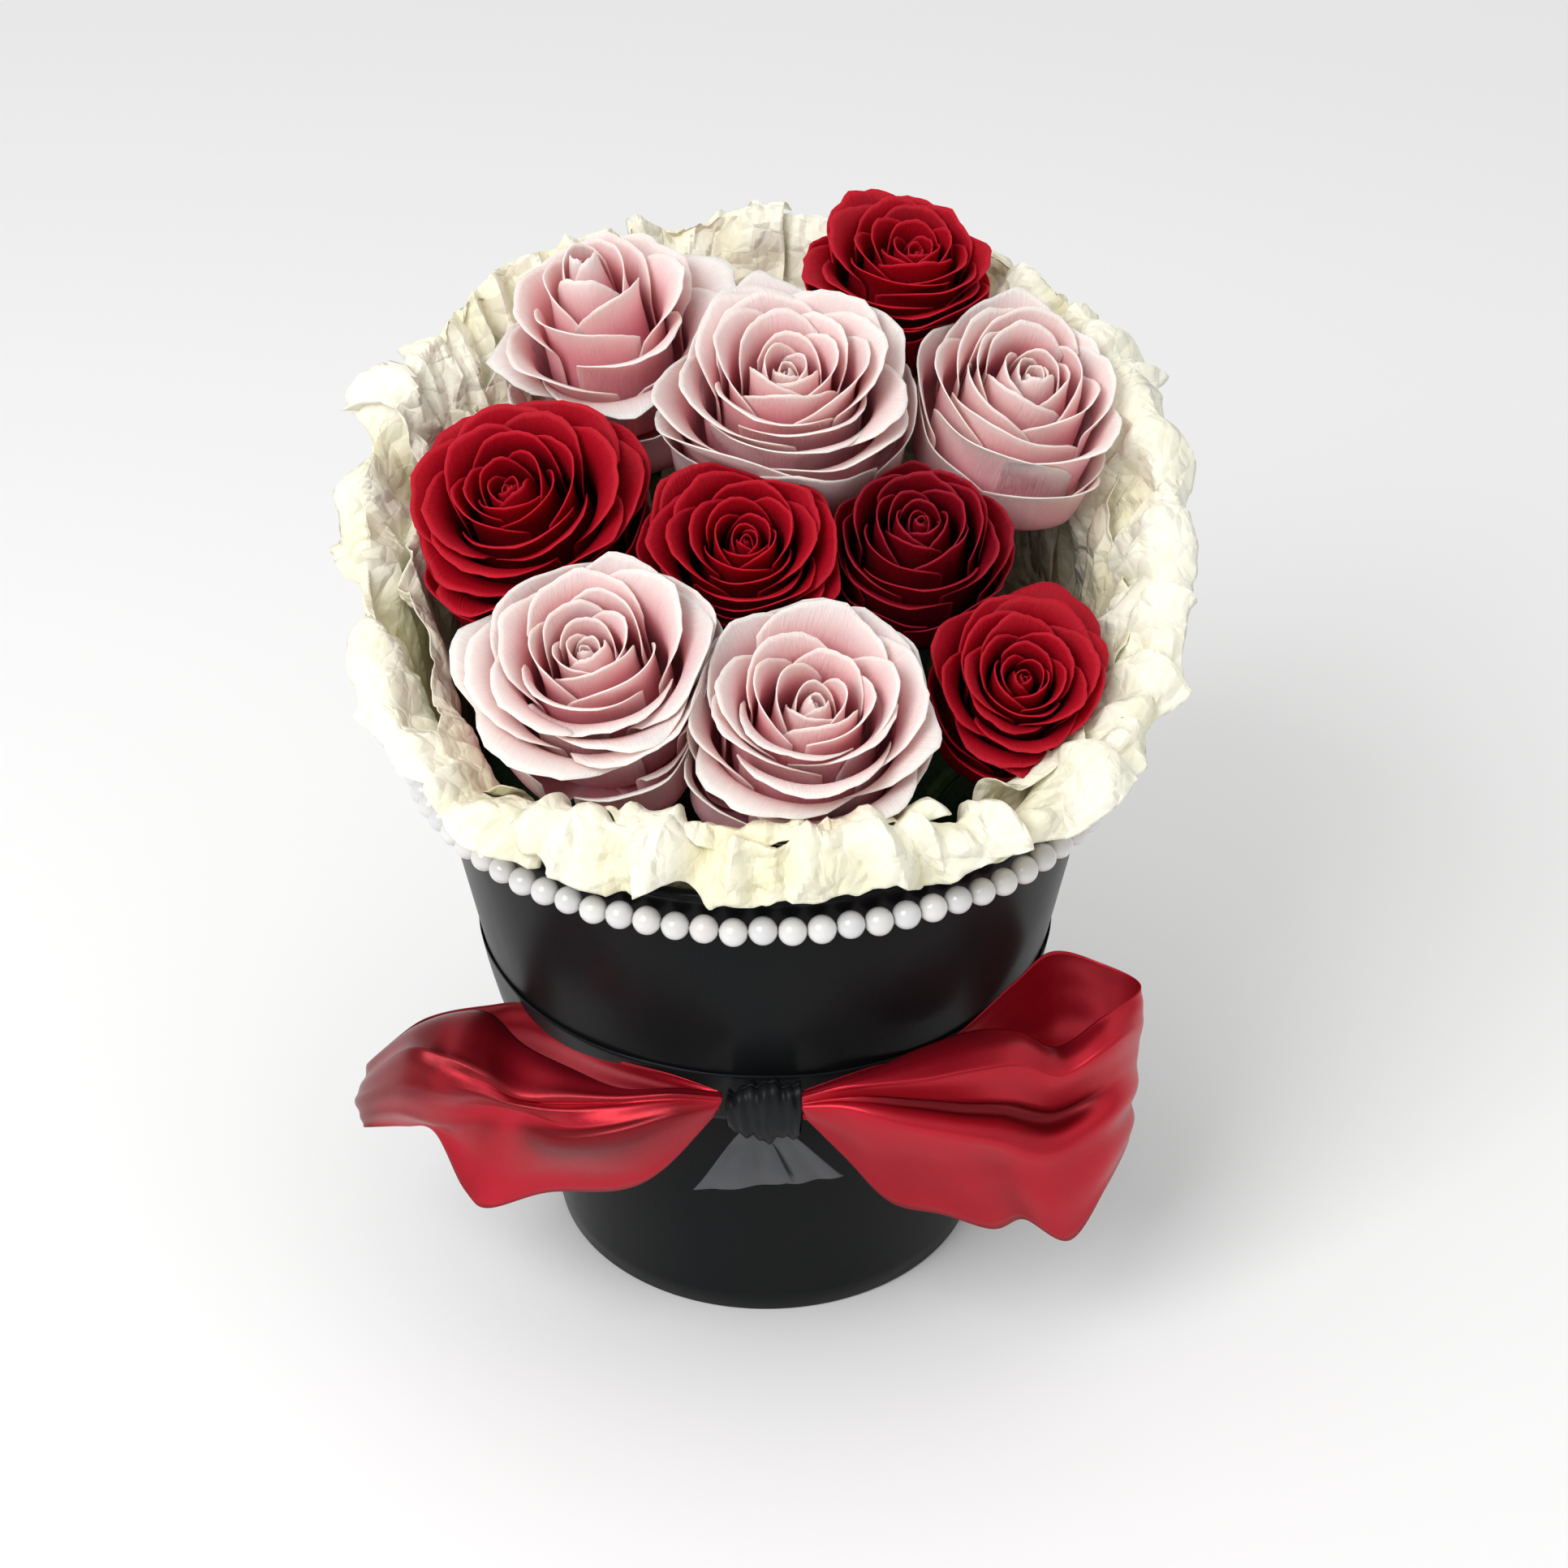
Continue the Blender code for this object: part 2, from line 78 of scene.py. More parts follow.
# Pearls: hole sizes are in bead radii
PEARL_COUNT = 82
PEARL_RADIUS = 0.00375
PEARL_SIZE_SPREAD = 0.012
PEARL_PLACE_SPREAD = 0.00025
HOLE_ANGLE = 0.16
HOLE_WIDTH = 0.35
HOLE_DEPTH = 0.93
THREAD_RADIUS = 0.0005

# Ribbons
RIBBON_THICKNESS = 0.0003
WAIST_STANDOFF = 0.0006
NET_STEPS = (10, 12)
NET_CRISPNESS = 0.70
RIDGE_HEIGHT = 0.0024
DRAG_HEIGHT = 0.00028
FOLD_START = 0.52
KNOT_PINCH = 0.26
KNOT_SQUARENESS = 0.8
TAIL_FOLD = 0.0016
TAIL_RIPPLE = 0.0004
TAIL_STANDOFF = 0.0020
TAIL_CLEAR = 0.0006
TAIL_TUCK = 0.0015

# Tissue collar: (radius, height) stations from the foam's edge outwards
TISSUE_FOOT = (0.0835, 0.1535)
TISSUE_TUCK = (0.0880, 0.1660)
TISSUE_BEND = (0.0922, 0.1745)
TISSUE_ROLL = ((0.0885, 0.1800), (0.0920, 0.1880), (0.0975, 0.1870), (0.1020, 0.1805), (0.1030, 0.1740))
COLLAR_TOP_RADIUS = 0.1040
COLLAR_FRONT_TOP = 0.181
COLLAR_BACK_RISE = 0.085
COLLAR_KNEE = (0.30, 0.62)
COLLAR_CUFFS = ((0.0055, 0.0012), (0.0095, -0.0030))
FRONT_START = 0.62
FRONT_SPAN = 0.33

# Tissue sheets: the grid, and how far pleats and facets of three sizes push it out, along and up
TISSUE_THICKNESS = 0.0002
TISSUE_CELL = 0.0010
TISSUE_ROWS = 76
TISSUE_GRID_RADIUS = 0.112
TISSUE_ARC_RADIUS = 0.100
TISSUE_TALL = 0.06
RAGGED_STEP = 0.09
RAGGED_HEIGHT = 0.06
PLEATS = 60
PLEAT_WIDTHS = (0.0040, 0.0120)
PLEAT_SLANT = 0.22
FACETS = ((0.016, 2.4), (0.0082, 2.2), (0.0044, 1.8))
PLEAT_OUT = 0.0046
FACETS_OUT = (0.0052, 0.0040, 0.0019)
FACETS_ALONG = (0.0040, 0.0018)
FACETS_UP = (0.0028, 0.0012)
CREASE_ANGLE = math.radians(13)

# Petals: lengths are in bloom radii
GOLDEN_ANGLE = math.radians(137.5)
PETAL_ACROSS = 20
PETAL_UP = 18
PETAL_THICKNESS = 0.00035
PETAL_SPLIT = 0.62
PETAL_DROOP = 0.30
PETAL_POINT = 0.035
PETAL_JAGS = (0.010, 0.006)
PETAL_BEND_SPREAD = 11
PETAL_SPIN_SPREAD = 0.22
PETAL_WRAP = (2.6, 1.55)
PETAL_RIPPLE = 0.020
PETAL_SWAY = 0.014
ROLL_STEPS = 24

# How blooms give way to their neighbours, and to the collar
NEIGHBOUR_REACH = 1.15
PRESS_SOFT = 0.76
LAP = 0.0015
COLLAR_CLEAR = 0.0065
COLLAR_SPREAD = 0.0118
COLLAR_SLOPES = (0.48, 1.84)
COLLAR_FRONT_LIMIT = 0.096
COLLAR_SOFT = 0.008


# Numbers

def smooth(t):
    """Climbs from 0 to 1 with flat ends."""
    t = np.clip(t, 0, 1)
    return t * t * (3 - 2 * t)


def lerp(a, b, t):
    return a + (b - a) * t


def bezier(t, a, b, c, d):
    w = 1 - t
    return w ** 3 * a + 3 * w * w * t * b + 3 * w * t * t * c + t ** 3 * d


def catmull(points, steps):
    """Catmull-Rom curve through points along the first axis, with this many steps to a span."""
    p = np.asarray(points, float)
    last = len(p) - 1
    at = np.linspace(0, last, last * steps + 1)
    i = np.minimum(at.astype(int), last - 1)
    t = (at - i).reshape((-1,) + (1,) * (p.ndim - 1))
    a, b, c, d = (p[np.clip(i + k, 0, last)] for k in (-1, 0, 1, 2))
    return 0.5 * (2 * b + (c - a) * t + (2 * a - 5 * b + 4 * c - d) * t ** 2 + (3 * b - a - 3 * c + d) * t ** 3)


# Meshes

def grid_faces(rows, columns, wrap=False, start=0):
    """Quads of a grid whose points run row by row. wrap joins the last column to the first."""
    across = columns if wrap else columns - 1
    faces = []
    for j in range(rows - 1):
        for i in range(across):
            k = (i + 1) % columns
            a, b = start + j * columns, start + (j + 1) * columns
            faces.append((a + i, a + k, b + k, b + i))
    return faces


def add_object(name, data):
    obj = bpy.data.objects.new(name, data)
    bpy.context.scene.collection.objects.link(obj)
    return obj


def add_piece(name, verts, faces, material, body, replaces=(), facts=None):
    """A mesh piece that rides on a body. facts are its named point attributes."""
    mesh = bpy.data.meshes.new(name)
    mesh.from_pydata(np.asarray(verts).tolist(), [], faces)
    for key, values in (facts or {}).items():
        attribute = mesh.attributes.new(key, "FLOAT", "POINT")
        attribute.data.foreach_set("value", np.asarray(values, np.float32).ravel())
    mesh.shade_smooth()
    mesh.materials.append(material)
    obj = add_object(name, mesh)
    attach(obj, body)
    if replaces:
        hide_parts(*replaces)
    return obj


def thicken(obj, thickness):
    solid = obj.modifiers.new("thickness", "SOLIDIFY")
    solid.thickness = thickness
    solid.offset = 0.0


def lathe(profile, steps, start=0):
    """Points and quads of a profile of (radius, height) turned about +Z."""
    turn = np.arange(steps) * 2 * math.pi / steps
    radius, height = np.asarray(profile, float).T
    verts = np.stack([
        radius[:, None] * np.cos(turn), radius[:, None] * np.sin(turn), np.repeat(height[:, None], steps, 1),
    ], -1).reshape(-1, 3)
    return verts, grid_faces(len(profile), steps, wrap=True, start=start)


# Materials

def new_material(name, colour, roughness, **inputs):
    """A Principled material. inputs are its other sockets, with _ for a space."""
    material = bpy.data.materials.new(name)
    material.use_nodes = True
    shader = material.node_tree.nodes["Principled BSDF"]
    shader.inputs["Base Color"].default_value = (*colour, 1)
    shader.inputs["Roughness"].default_value = roughness
    for key, value in inputs.items():
        shader.inputs[key.replace("_", " ")].default_value = value
    return material


def add_node(material, kind, sockets=None, **settings):
    """A shader node. sockets are its inputs: values, or other nodes' outputs."""
    node = material.node_tree.nodes.new(kind)
    for key, value in settings.items():
        setattr(node, key, value)
    for key, value in (sockets or {}).items():
        if isinstance(value, bpy.types.NodeSocket):
            material.node_tree.links.new(value, node.inputs[key])
        else:
            node.inputs[key].default_value = value
    return node


def plug(material, socket, key):
    material.node_tree.links.new(socket, material.node_tree.nodes["Principled BSDF"].inputs[key])


def point_fact(material, name):
    return add_node(material, "ShaderNodeAttribute", attribute_name=name).outputs["Fac"]


def ramp(material, factor, stops):
    """A colour ramp of (position, colour) stops. A single number stands for a grey."""
    node = add_node(material, "ShaderNodeValToRGB", {"Fac": factor})
    elements = node.color_ramp.elements
    elements[0].position, elements[-1].position = stops[0][0], stops[-1][0]
    between = [elements.new(position) for position, _ in stops[1:-1]]
    for element, (_, colour) in zip((elements[0], *between, elements[-1]), stops):
        rgb = (colour,) * 3 if isinstance(colour, (int, float)) else colour
        element.color = (*rgb, 1)
    return node.outputs["Color"]


def mix(material, factor, first, second, blend="MIX"):
    node = add_node(material, "ShaderNodeMix", data_type="RGBA", blend_type=blend)
    for index, value in ((0, factor), (6, first), (7, second)):
        if isinstance(value, bpy.types.NodeSocket):
            material.node_tree.links.new(value, node.inputs[index])
        else:
            node.inputs[index].default_value = (*value, 1) if index else value
    return node.outputs[2]


def places(material, scale=(1, 1, 1)):
    """Object coordinates, stretched by scale."""
    coordinates = add_node(material, "ShaderNodeTexCoord")
    mapping = add_node(material, "ShaderNodeMapping", {"Vector": coordinates.outputs["Object"], "Scale": scale})
    return mapping.outputs[0]


def noise(material, vector, scale, detail=3.0, rough=0.55):
    node = add_node(material, "ShaderNodeTexNoise", {
        "Vector": vector, "Scale": scale, "Detail": detail, "Roughness": rough,
    })
    return node.outputs["Fac"]


def bump(material, height, distance, strength=1.0, under=None):
    sockets = {"Height": height, "Distance": distance, "Strength": strength}
    if under is not None:
        sockets["Normal"] = under
    return add_node(material, "ShaderNodeBump", sockets).outputs["Normal"]


def fact_vector(material, x, y, z=None):
    """A texture place made from point attributes, each (name, scale)."""
    sockets = {}
    for axis, fact in zip("XYZ", (x, y, z)):
        if fact is not None:
            name, scale = fact
            sockets[axis] = add_node(material, "ShaderNodeMath", {
                0: point_fact(material, name), 1: scale,
            }, operation="MULTIPLY").outputs[0]
    return add_node(material, "ShaderNodeCombineXYZ", sockets).outputs[0]


def petal_material(name, inner, outer, rim, specular, rim_tint_and_highlight_share):
    """Petals: colour climbs from a dark base to the rim, partly the pinks' own deeper heart and partly painted shade
    in the cup, differs from heart to guard petals, takes a paler rim, partly a pale edge and partly a painted
    highlight, and has fine veins.
    """
    material = new_material(name, inner[-1][1], 0.55, Specular_IOR_Level=specular, Subsurface_Weight=0.45,
                            Subsurface_Radius=(1.0, 0.45, 0.40), Subsurface_Scale=0.0035)
    rise = point_fact(material, "rise")
    # Base-to-rim ramps: darkest at the base, partly painted shade in the cup
    heart = ramp(material, rise, inner)
    guard = ramp(material, rise, outer)
    layer = ramp(material, point_fact(material, "layer"), ((0.35, 0.0), (0.90, 1.0)))
    colour = mix(material, layer, heart, guard)
    veins = noise(material, fact_vector(material, ("across", 230.0), ("rise", 5.0), ("layer", 90.0)), 1.0, 4.0)
    colour = mix(material, 0.16, colour, ramp(material, veins, ((0.35, 0.25), (0.65, 0.95))), "SOFT_LIGHT")
    cloud = noise(material, places(material), 70.0, 2.0)
    colour = mix(material, 0.14, colour, ramp(material, cloud, ((0.35, 0.3), (0.65, 0.85))), "SOFT_LIGHT")
    # Rim tint: a painted highlight where light catches the rolled edges, and on the pinks partly their own pale edge
    edge = ramp(material, point_fact(material, "rim"), ((0.0, rim_tint_and_highlight_share), (0.018, rim_tint_and_highlight_share * 0.7), (0.07, 0.0)))
    plug(material, mix(material, edge, colour, rim), "Base Color")
    crinkle = noise(material, fact_vector(material, ("across", 60.0), ("rise", 7.0), ("layer", 90.0)), 1.0, 3.0)
    fine = bump(material, veins, 0.00010)
    plug(material, bump(material, crinkle, 0.00035, under=fine), "Normal")
    return material


def satin_material(name, colour, shade, roughness, sheen, specular, metallic=0.0):
    """Satin: long floats along the ribbon, a soft directional gloss, and painted shade that darkens the valleys of
    its folds.
    """
    material = new_material(name, colour, roughness, Specular_IOR_Level=specular, Metallic=metallic,
                            Sheen_Weight=sheen, Sheen_Roughness=0.35,
                            Sheen_Tint=(*[min(1, 0.35 + c) for c in colour], 1))
    floats = noise(material, fact_vector(material, ("along", 700.0), ("across", 9000.0)), 1.0, 2.0)
    cloud = noise(material, places(material), 55.0, 2.0)
    tint = mix(material, ramp(material, cloud, ((0.3, 0.0), (0.7, 0.35))), colour, shade)
    tint = mix(material, ramp(material, floats, ((0.3, 0.0), (0.7, 0.25))), tint, shade)
    # Painted shade: the colour is multiplied darker in the fold valleys, by the ridge fact
    deep = ramp(material, point_fact(material, "ridge"), (
        (0.12, (0.40, 0.32, 0.32)), (0.5, (0.86, 0.86, 0.86)), (0.85, (1.0, 1.0, 1.0)),
    ))
    tint = mix(material, 1.0, tint, deep, "MULTIPLY")
    plug(material, tint, "Base Color")
    plug(material, ramp(material, floats, ((0.3, roughness - 0.05), (0.7, roughness + 0.07))), "Roughness")
    plug(material, bump(material, floats, 0.00003), "Normal")
    return material


def creases(material, scale, warp):
    """Distance to the nearest edge of an irregular net of facets, warped so that no edge is quite straight."""
    where = places(material)
    bend = noise(material, where, 45.0, 2.0)
    shift = add_node(material, "ShaderNodeVectorMath", {0: bend, 1: (warp, warp, warp)}, operation="MULTIPLY")
    moved = add_node(material, "ShaderNodeVectorMath", {0: where, 1: shift.outputs[0]}, operation="ADD")
    net = add_node(material, "ShaderNodeTexVoronoi", {"Vector": moved.outputs[0], "Scale": scale},
                   feature="DISTANCE_TO_EDGE")
    return net.outputs["Distance"]


def tissue_material():
    """Tissue paper: ivory, creased into facets, light passing through it, with painted shade that darkens it through
    tan to near black where it is tucked in deep, painted shade in its fold valleys and painted highlights along its
    creases.
    """
    material = new_material("tissue_paper", (0.90, 0.88, 0.76), 0.46, Specular_IOR_Level=0.40, Sheen_Weight=0.05,
                            Subsurface_Weight=0.10, Subsurface_Radius=(1.0, 0.95, 0.80), Subsurface_Scale=0.0008)
    reach = point_fact(material, "reach")
    # Painted shade: near black at the tucked-in foot, through tan, to ivory higher up, for the shade deep under the
    # roses
    colour = ramp(material, reach, (
        (0.0, (0.06, 0.045, 0.02)), (0.10, (0.25, 0.17, 0.09)), (0.22, (0.72, 0.59, 0.42)),
        (0.36, (0.83, 0.76, 0.60)), (0.52, (0.88, 0.845, 0.67)), (1.0, (0.90, 0.885, 0.75)),
    ))
    # Painted shade: a yellowish darkening where folds push the sheet outwards, the fold valleys seen from inside the
    # collar
    fold = ramp(material, point_fact(material, "crease"), ((0.15, (0.80, 0.73, 0.46)), (0.55, (1.0, 1.0, 1.0))))
    colour = mix(material, 0.55, colour, fold, "MULTIPLY")
    cloud = noise(material, places(material), 38.0, 3.0)
    colour = mix(material, ramp(material, cloud, ((0.45, 0.0), (0.72, 0.38))), colour, (0.82, 0.78, 0.52))
    large = creases(material, 75.0, 0.014)
    fine = creases(material, 190.0, 0.007)
    # Painted highlight: pale lines along the larger crease net
    line = ramp(material, large, ((0.0, 0.16), (0.05, 0.0)))
    colour = mix(material, line, colour, (0.95, 0.94, 0.88))
    plug(material, colour, "Base Color")
    fibre = noise(material, places(material), 900.0, 3.0)
    under = bump(material, fibre, 0.00004)
    under = bump(material, ramp(material, fine, ((0.0, 0.0), (0.3, 1.0))), 0.00028, under=under)
    plug(material, bump(material, ramp(material, large, ((0.0, 0.0), (0.30, 1.0))), 0.0009, under=under), "Normal")
    return material


def gloss_material():
    """Black lacquer, a little smeared."""
    material = new_material("gloss_black_lacquer", (0.0068, 0.0075, 0.0082), 0.30, Specular_IOR_Level=0.06)
    smear = noise(material, places(material, (1, 1, 0.4)), 28.0, 4.0)
    plug(material, ramp(material, smear, ((0.3, 0.24), (0.7, 0.36))), "Roughness")
    tone = ramp(material, smear, ((0.3, (0.0060, 0.0068, 0.0076)), (0.7, (0.0082, 0.0088, 0.0094))))
    plug(material, tone, "Base Color")
    peel = noise(material, places(material), 420.0, 2.0)
    plug(material, bump(material, peel, 0.000004), "Normal")
    return material


def pearl_material():
    """Pearl under a clear coat, each bead with a tint of its own."""
    material = new_material("pearl_bead", (0.84, 0.83, 0.81), 0.26, Specular_IOR_Level=0.5, Coat_Weight=0.7,
                            Coat_Roughness=0.08, Subsurface_Weight=0.12, Subsurface_Radius=(1.0, 0.9, 0.8),
                            Subsurface_Scale=0.001)
    tint = ramp(material, point_fact(material, "bead"), (
        (0.0, (0.72, 0.70, 0.68)), (0.5, (0.66, 0.66, 0.67)), (1.0, (0.75, 0.74, 0.72)),
    ))
    nacre = noise(material, places(material), 650.0, 3.0)
    tint = mix(material, ramp(material, nacre, ((0.4, 0.0), (0.7, 0.22))), tint, (0.66, 0.66, 0.68))
    plug(material, tint, "Base Color")
    plug(material, bump(material, nacre, 0.00002), "Normal")
    return material


def mottled_material(name, low, high, roughness, scale, height, **inputs):
    """A noise-coloured, noise-bumped surface: foam pores, leaf flesh, film."""
    material = new_material(name, low, roughness, **inputs)
    grain = noise(material, places(material), scale, 4.0, 0.65)
    plug(material, ramp(material, grain, ((0.32, low), (0.68, high))), "Base Color")
    plug(material, ramp(material, grain, ((0.3, roughness - 0.06), (0.7, roughness + 0.06))), "Roughness")
    plug(material, bump(material, grain, height), "Normal")
    return material


def make_materials():
    # Petal ramps from base to rim: the near-black bases of the reds and the wine rose are painted shade in the cup;
    # the deep pink bases are partly the pinks' own colour and partly painted shade
    pink_in = ((0.0, (0.80, 0.14, 0.20)), (0.55, (0.90, 0.29, 0.35)), (0.78, (0.955, 0.52, 0.53)),
               (0.90, (0.965, 0.66, 0.65)), (1.0, (0.97, 0.76, 0.71)))
    pink_out = ((0.0, (0.86, 0.24, 0.30)), (0.55, (0.93, 0.43, 0.47)), (0.78, (0.96, 0.64, 0.63)),
                (0.90, (0.97, 0.75, 0.71)), (1.0, (0.97, 0.82, 0.76)))
    red_in = ((0.0, (0.03, 0.0, 0.001)), (0.50, (0.14, 0.0006, 0.004)), (0.85, (0.28, 0.0012, 0.008)),
              (1.0, (0.36, 0.002, 0.012)))
    red_out = ((0.0, (0.05, 0.0, 0.002)), (0.50, (0.20, 0.001, 0.006)), (0.85, (0.34, 0.0015, 0.010)),
               (1.0, (0.40, 0.003, 0.014)))
    wine_in = ((0.0, (0.02, 0.0, 0.001)), (0.50, (0.075, 0.0004, 0.003)), (1.0, (0.17, 0.001, 0.008)))
    return {
        # Rim colours, paler than the petal tops: painted highlights on the edges, on the pinks partly their own pale
        # edge
        "pink": petal_material("pink_petal_flesh", pink_in, pink_out, (0.96, 0.86, 0.79), 0.22, 0.28),
        "red": petal_material("red_petal_flesh", red_in, red_out, (0.52, 0.008, 0.022), 0.16, 0.6),
        "wine": petal_material("wine_petal_flesh", wine_in, wine_in, (0.38, 0.012, 0.03), 0.14, 0.6),
        "red_satin": satin_material("red_satin_weave", (0.50, 0.010, 0.027), (0.36, 0.005, 0.014),
                                    0.32, 0.0, 0.5, 0.65),
        # Tails and knot are one black satin in two copies: the tails' copy has a lighter base colour, a painted
        # sheen for the grey light they catch; the knot's copy, also on the waist band, stays near black
        "black_satin": satin_material("black_satin_weave", (0.060, 0.062, 0.070), (0.030, 0.032, 0.036),
                                      0.34, 0.10, 0.6),
        "knot_satin": satin_material("knot_satin_weave", (0.010, 0.011, 0.013), (0.005, 0.006, 0.007),
                                     0.36, 0.0, 0.15),
        "tissue": tissue_material(),
        "gloss": gloss_material(),
        "pearl": pearl_material(),
        "thread": mottled_material("thread_twist", (0.55, 0.54, 0.52), (0.75, 0.74, 0.72), 0.6, 900.0, 0.00005),
        # Foam green kept dark, partly its own wet green and partly painted shade, so that the gaps between the
        # blooms stay near black
        "foam": mottled_material("floral_foam", (0.010, 0.030, 0.012), (0.030, 0.085, 0.035), 0.92, 700.0, 0.0004),
        "film": mottled_material("liner_film_black", (0.010, 0.011, 0.012), (0.022, 0.023, 0.026), 0.5, 60.0, 0.0003,
                                 Specular_IOR_Level=0.2),
        "sepal": mottled_material("sepal_flesh", (0.05, 0.13, 0.03), (0.12, 0.24, 0.07), 0.6, 220.0, 0.0002),
        "stem": mottled_material("stem_bark", (0.07, 0.17, 0.05), (0.14, 0.28, 0.09), 0.55, 160.0, 0.0002),
    }


# Bucket, pearls and waist ribbon

def wall_radius(z):
    """Outer radius of the bucket's wall at height z, from its CAD box."""
    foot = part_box("base_board")[1].x + WALL
    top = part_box("bucket_wall")[1]
    rim = top.x - LIP_PROUD
    return foot + (rim - foot) * z / top.z


def make_bucket(looks):
    """The tapered wall with its rolled lip, as one closed shell."""
    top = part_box("bucket_wall")[1].z
    lip_z = top - LIP_RADIUS
    lip_r = wall_radius(lip_z) - LIP_RADIUS + LIP_OUT
    profile = [(wall_radius(z), z) for z in np.linspace(FOOT_HEIGHT, lip_z - LIP_BELOW_OUTSIDE, 24)]
    profile += [
        (lip_r + LIP_RADIUS * math.cos(a), lip_z + LIP_RADIUS * math.sin(a)) for a in np.linspace(*LIP_TURN, 15)
    ]
    profile += [(wall_radius(z) - WALL, z) for z in np.linspace(lip_z - LIP_BELOW_INSIDE, FOOT_HEIGHT, 16)]
    profile += [(wall_radius(0) - WALL + FOOT_INSET, 0.0), (wall_radius(0) - FOOT_INSET, 0.0), profile[0]]
    verts, faces = lathe(profile, BUCKET_STEPS)
    shell = add_piece("bucket_shell", verts, faces, looks["gloss"], "bucket", ("bucket_wall",))
    weld = shell.modifiers.new("weld", "WELD")
    weld.merge_threshold = WELD_DISTANCE


def make_pearls(looks):
    """Drilled beads on a thread, just under the rim."""
    low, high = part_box("pearl_strand")
    height = (low.z + high.z) / 2
    ring = high.x - PEARL_RADIUS
    rng = np.random.default_rng(11)
    arc = np.linspace(-1, 1, 15) * (math.pi / 2 - HOLE_ANGLE)
    profile = [(HOLE_WIDTH * math.cos(arc[0]), math.sin(arc[0]) * HOLE_DEPTH)]
    profile += [(math.cos(a), math.sin(a)) for a in arc]
    profile += [(HOLE_WIDTH * math.cos(arc[-1]), math.sin(arc[-1]) * HOLE_DEPTH)]
    bead, bead_faces = lathe(profile, 24)
    verts, faces, tint = [], [], []
    for k in range(PEARL_COUNT):
        angle = 2 * math.pi * k / PEARL_COUNT - math.pi / 2
        size = PEARL_RADIUS * (1 + PEARL_SIZE_SPREAD * rng.standard_normal())
        out = np.array([math.cos(angle), math.sin(angle), 0])
        along = np.array([-math.sin(angle), math.cos(angle), 0])
        middle = out * ring + np.array([0, 0, height + PEARL_PLACE_SPREAD * rng.standard_normal()])
        placed = middle + size * (bead[:, :1] * out + bead[:, 1:2] * np.array([0, 0, 1]) + bead[:, 2:] * along)
        faces += [tuple(i + k * len(bead) for i in face) for face in bead_faces]
        verts.append(placed)
        tint.append(np.full(len(bead), rng.random()))
    add_piece("pearl_beads", np.concatenate(verts), faces, looks["pearl"], "bucket", ("pearl_strand",),
              {"bead": np.concatenate(tint)})
    turn = np.arange(8) * math.pi / 4
    profile = [(ring + THREAD_RADIUS * math.cos(a), height + THREAD_RADIUS * math.sin(a)) for a in (*turn, 0.0)]
    verts, faces = lathe(profile, BUCKET_STEPS)
    add_piece("pearl_thread", verts, faces, looks["thread"], "bucket")


def make_waist_ribbon(looks):
    """A flat satin band round the waist, a little slack."""
    low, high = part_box("waist_ribbon")
    rows, columns = 13, BUCKET_STEPS
    across = np.linspace(low.z, high.z, rows)[:, None]
    turn = np.arange(columns)[None, :] * 2 * math.pi / columns
    share = (across - low.z) / (high.z - low.z)
    slack = 0.00012 * np.sin(7 * turn + 5 * share) + 0.0001 * np.sin(17 * turn) * share
    radius = np.vectorize(wall_radius)(across) + WAIST_STANDOFF + slack
    verts = np.stack([radius * np.cos(turn), radius * np.sin(turn), np.broadcast_to(across, radius.shape)], -1)
    band = add_piece("waist_ribbon_band", verts.reshape(-1, 3), grid_faces(rows, columns, wrap=True),
                     looks["knot_satin"], "bucket", ("waist_ribbon",),
                     {"along": turn * radius, "across": across + 0 * turn, "ridge": 0.5 + 0 * radius})
    thicken(band, RIBBON_THICKNESS)


# Bow: control nets in millimetres, from behind the knot, out round the end and back in front of it. Each
# station holds five (x, y, z) points from the ribbon's upper edge to its lower one.

RIGHT_NET = (
    ((10, -84, 99), (10, -85, 98), (10, -85, 95), (10, -86, 94), (10, -86, 91)),
    ((26, -80, 103), (26, -80, 98), (27, -80, 93), (28, -80, 88), (28, -80, 82)),
    ((48, -68, 102), (49, -67, 95), (50, -66, 87), (51, -66, 77), (51, -67, 67)),
    ((68, -50, 109), (69, -50, 98), (71, -50, 84), (72, -50, 71), (73, -52, 58)),
    ((79, -42, 114), (81, -42, 99), (83, -42, 83), (85, -43, 68), (87, -46, 53)),
    ((92, -44, 112), (94, -43, 97), (96, -43, 83), (96, -46, 69), (98, -50, 54)),
    ((103, -54, 111), (104, -54, 100), (103, -56, 89), (103, -58, 76), (102, -61, 64)),
    ((90, -66, 109), (95, -72, 107), (96, -70, 91), (95, -76, 79), (94, -78, 60)),
    ((79, -70, 103), (80, -80, 101), (80, -76, 85), (76, -90, 81), (84, -86, 48)),
    ((69, -66, 105), (68, -84, 108), (65, -82, 93), (61, -96, 91), (71, -88, 58)),
    ((57, -68, 107), (55, -89, 110), (53, -86, 97), (49, -99, 97), (62, -92, 58)),
    ((43, -76, 108), (42, -93, 110), (41, -90, 102), (38, -100, 101), (48, -95, 66)),
    ((30, -86, 109), (29, -95, 110), (29, -93, 105), (27, -99, 104), (34, -96, 71)),
    ((20, -92, 109), (20, -95, 109), (20, -94, 105), (19, -97, 104), (22, -95, 85)),
    ((10, -92, 105), (10, -94, 105), (10, -94, 103), (10, -95, 102), (11, -94, 98)),
)
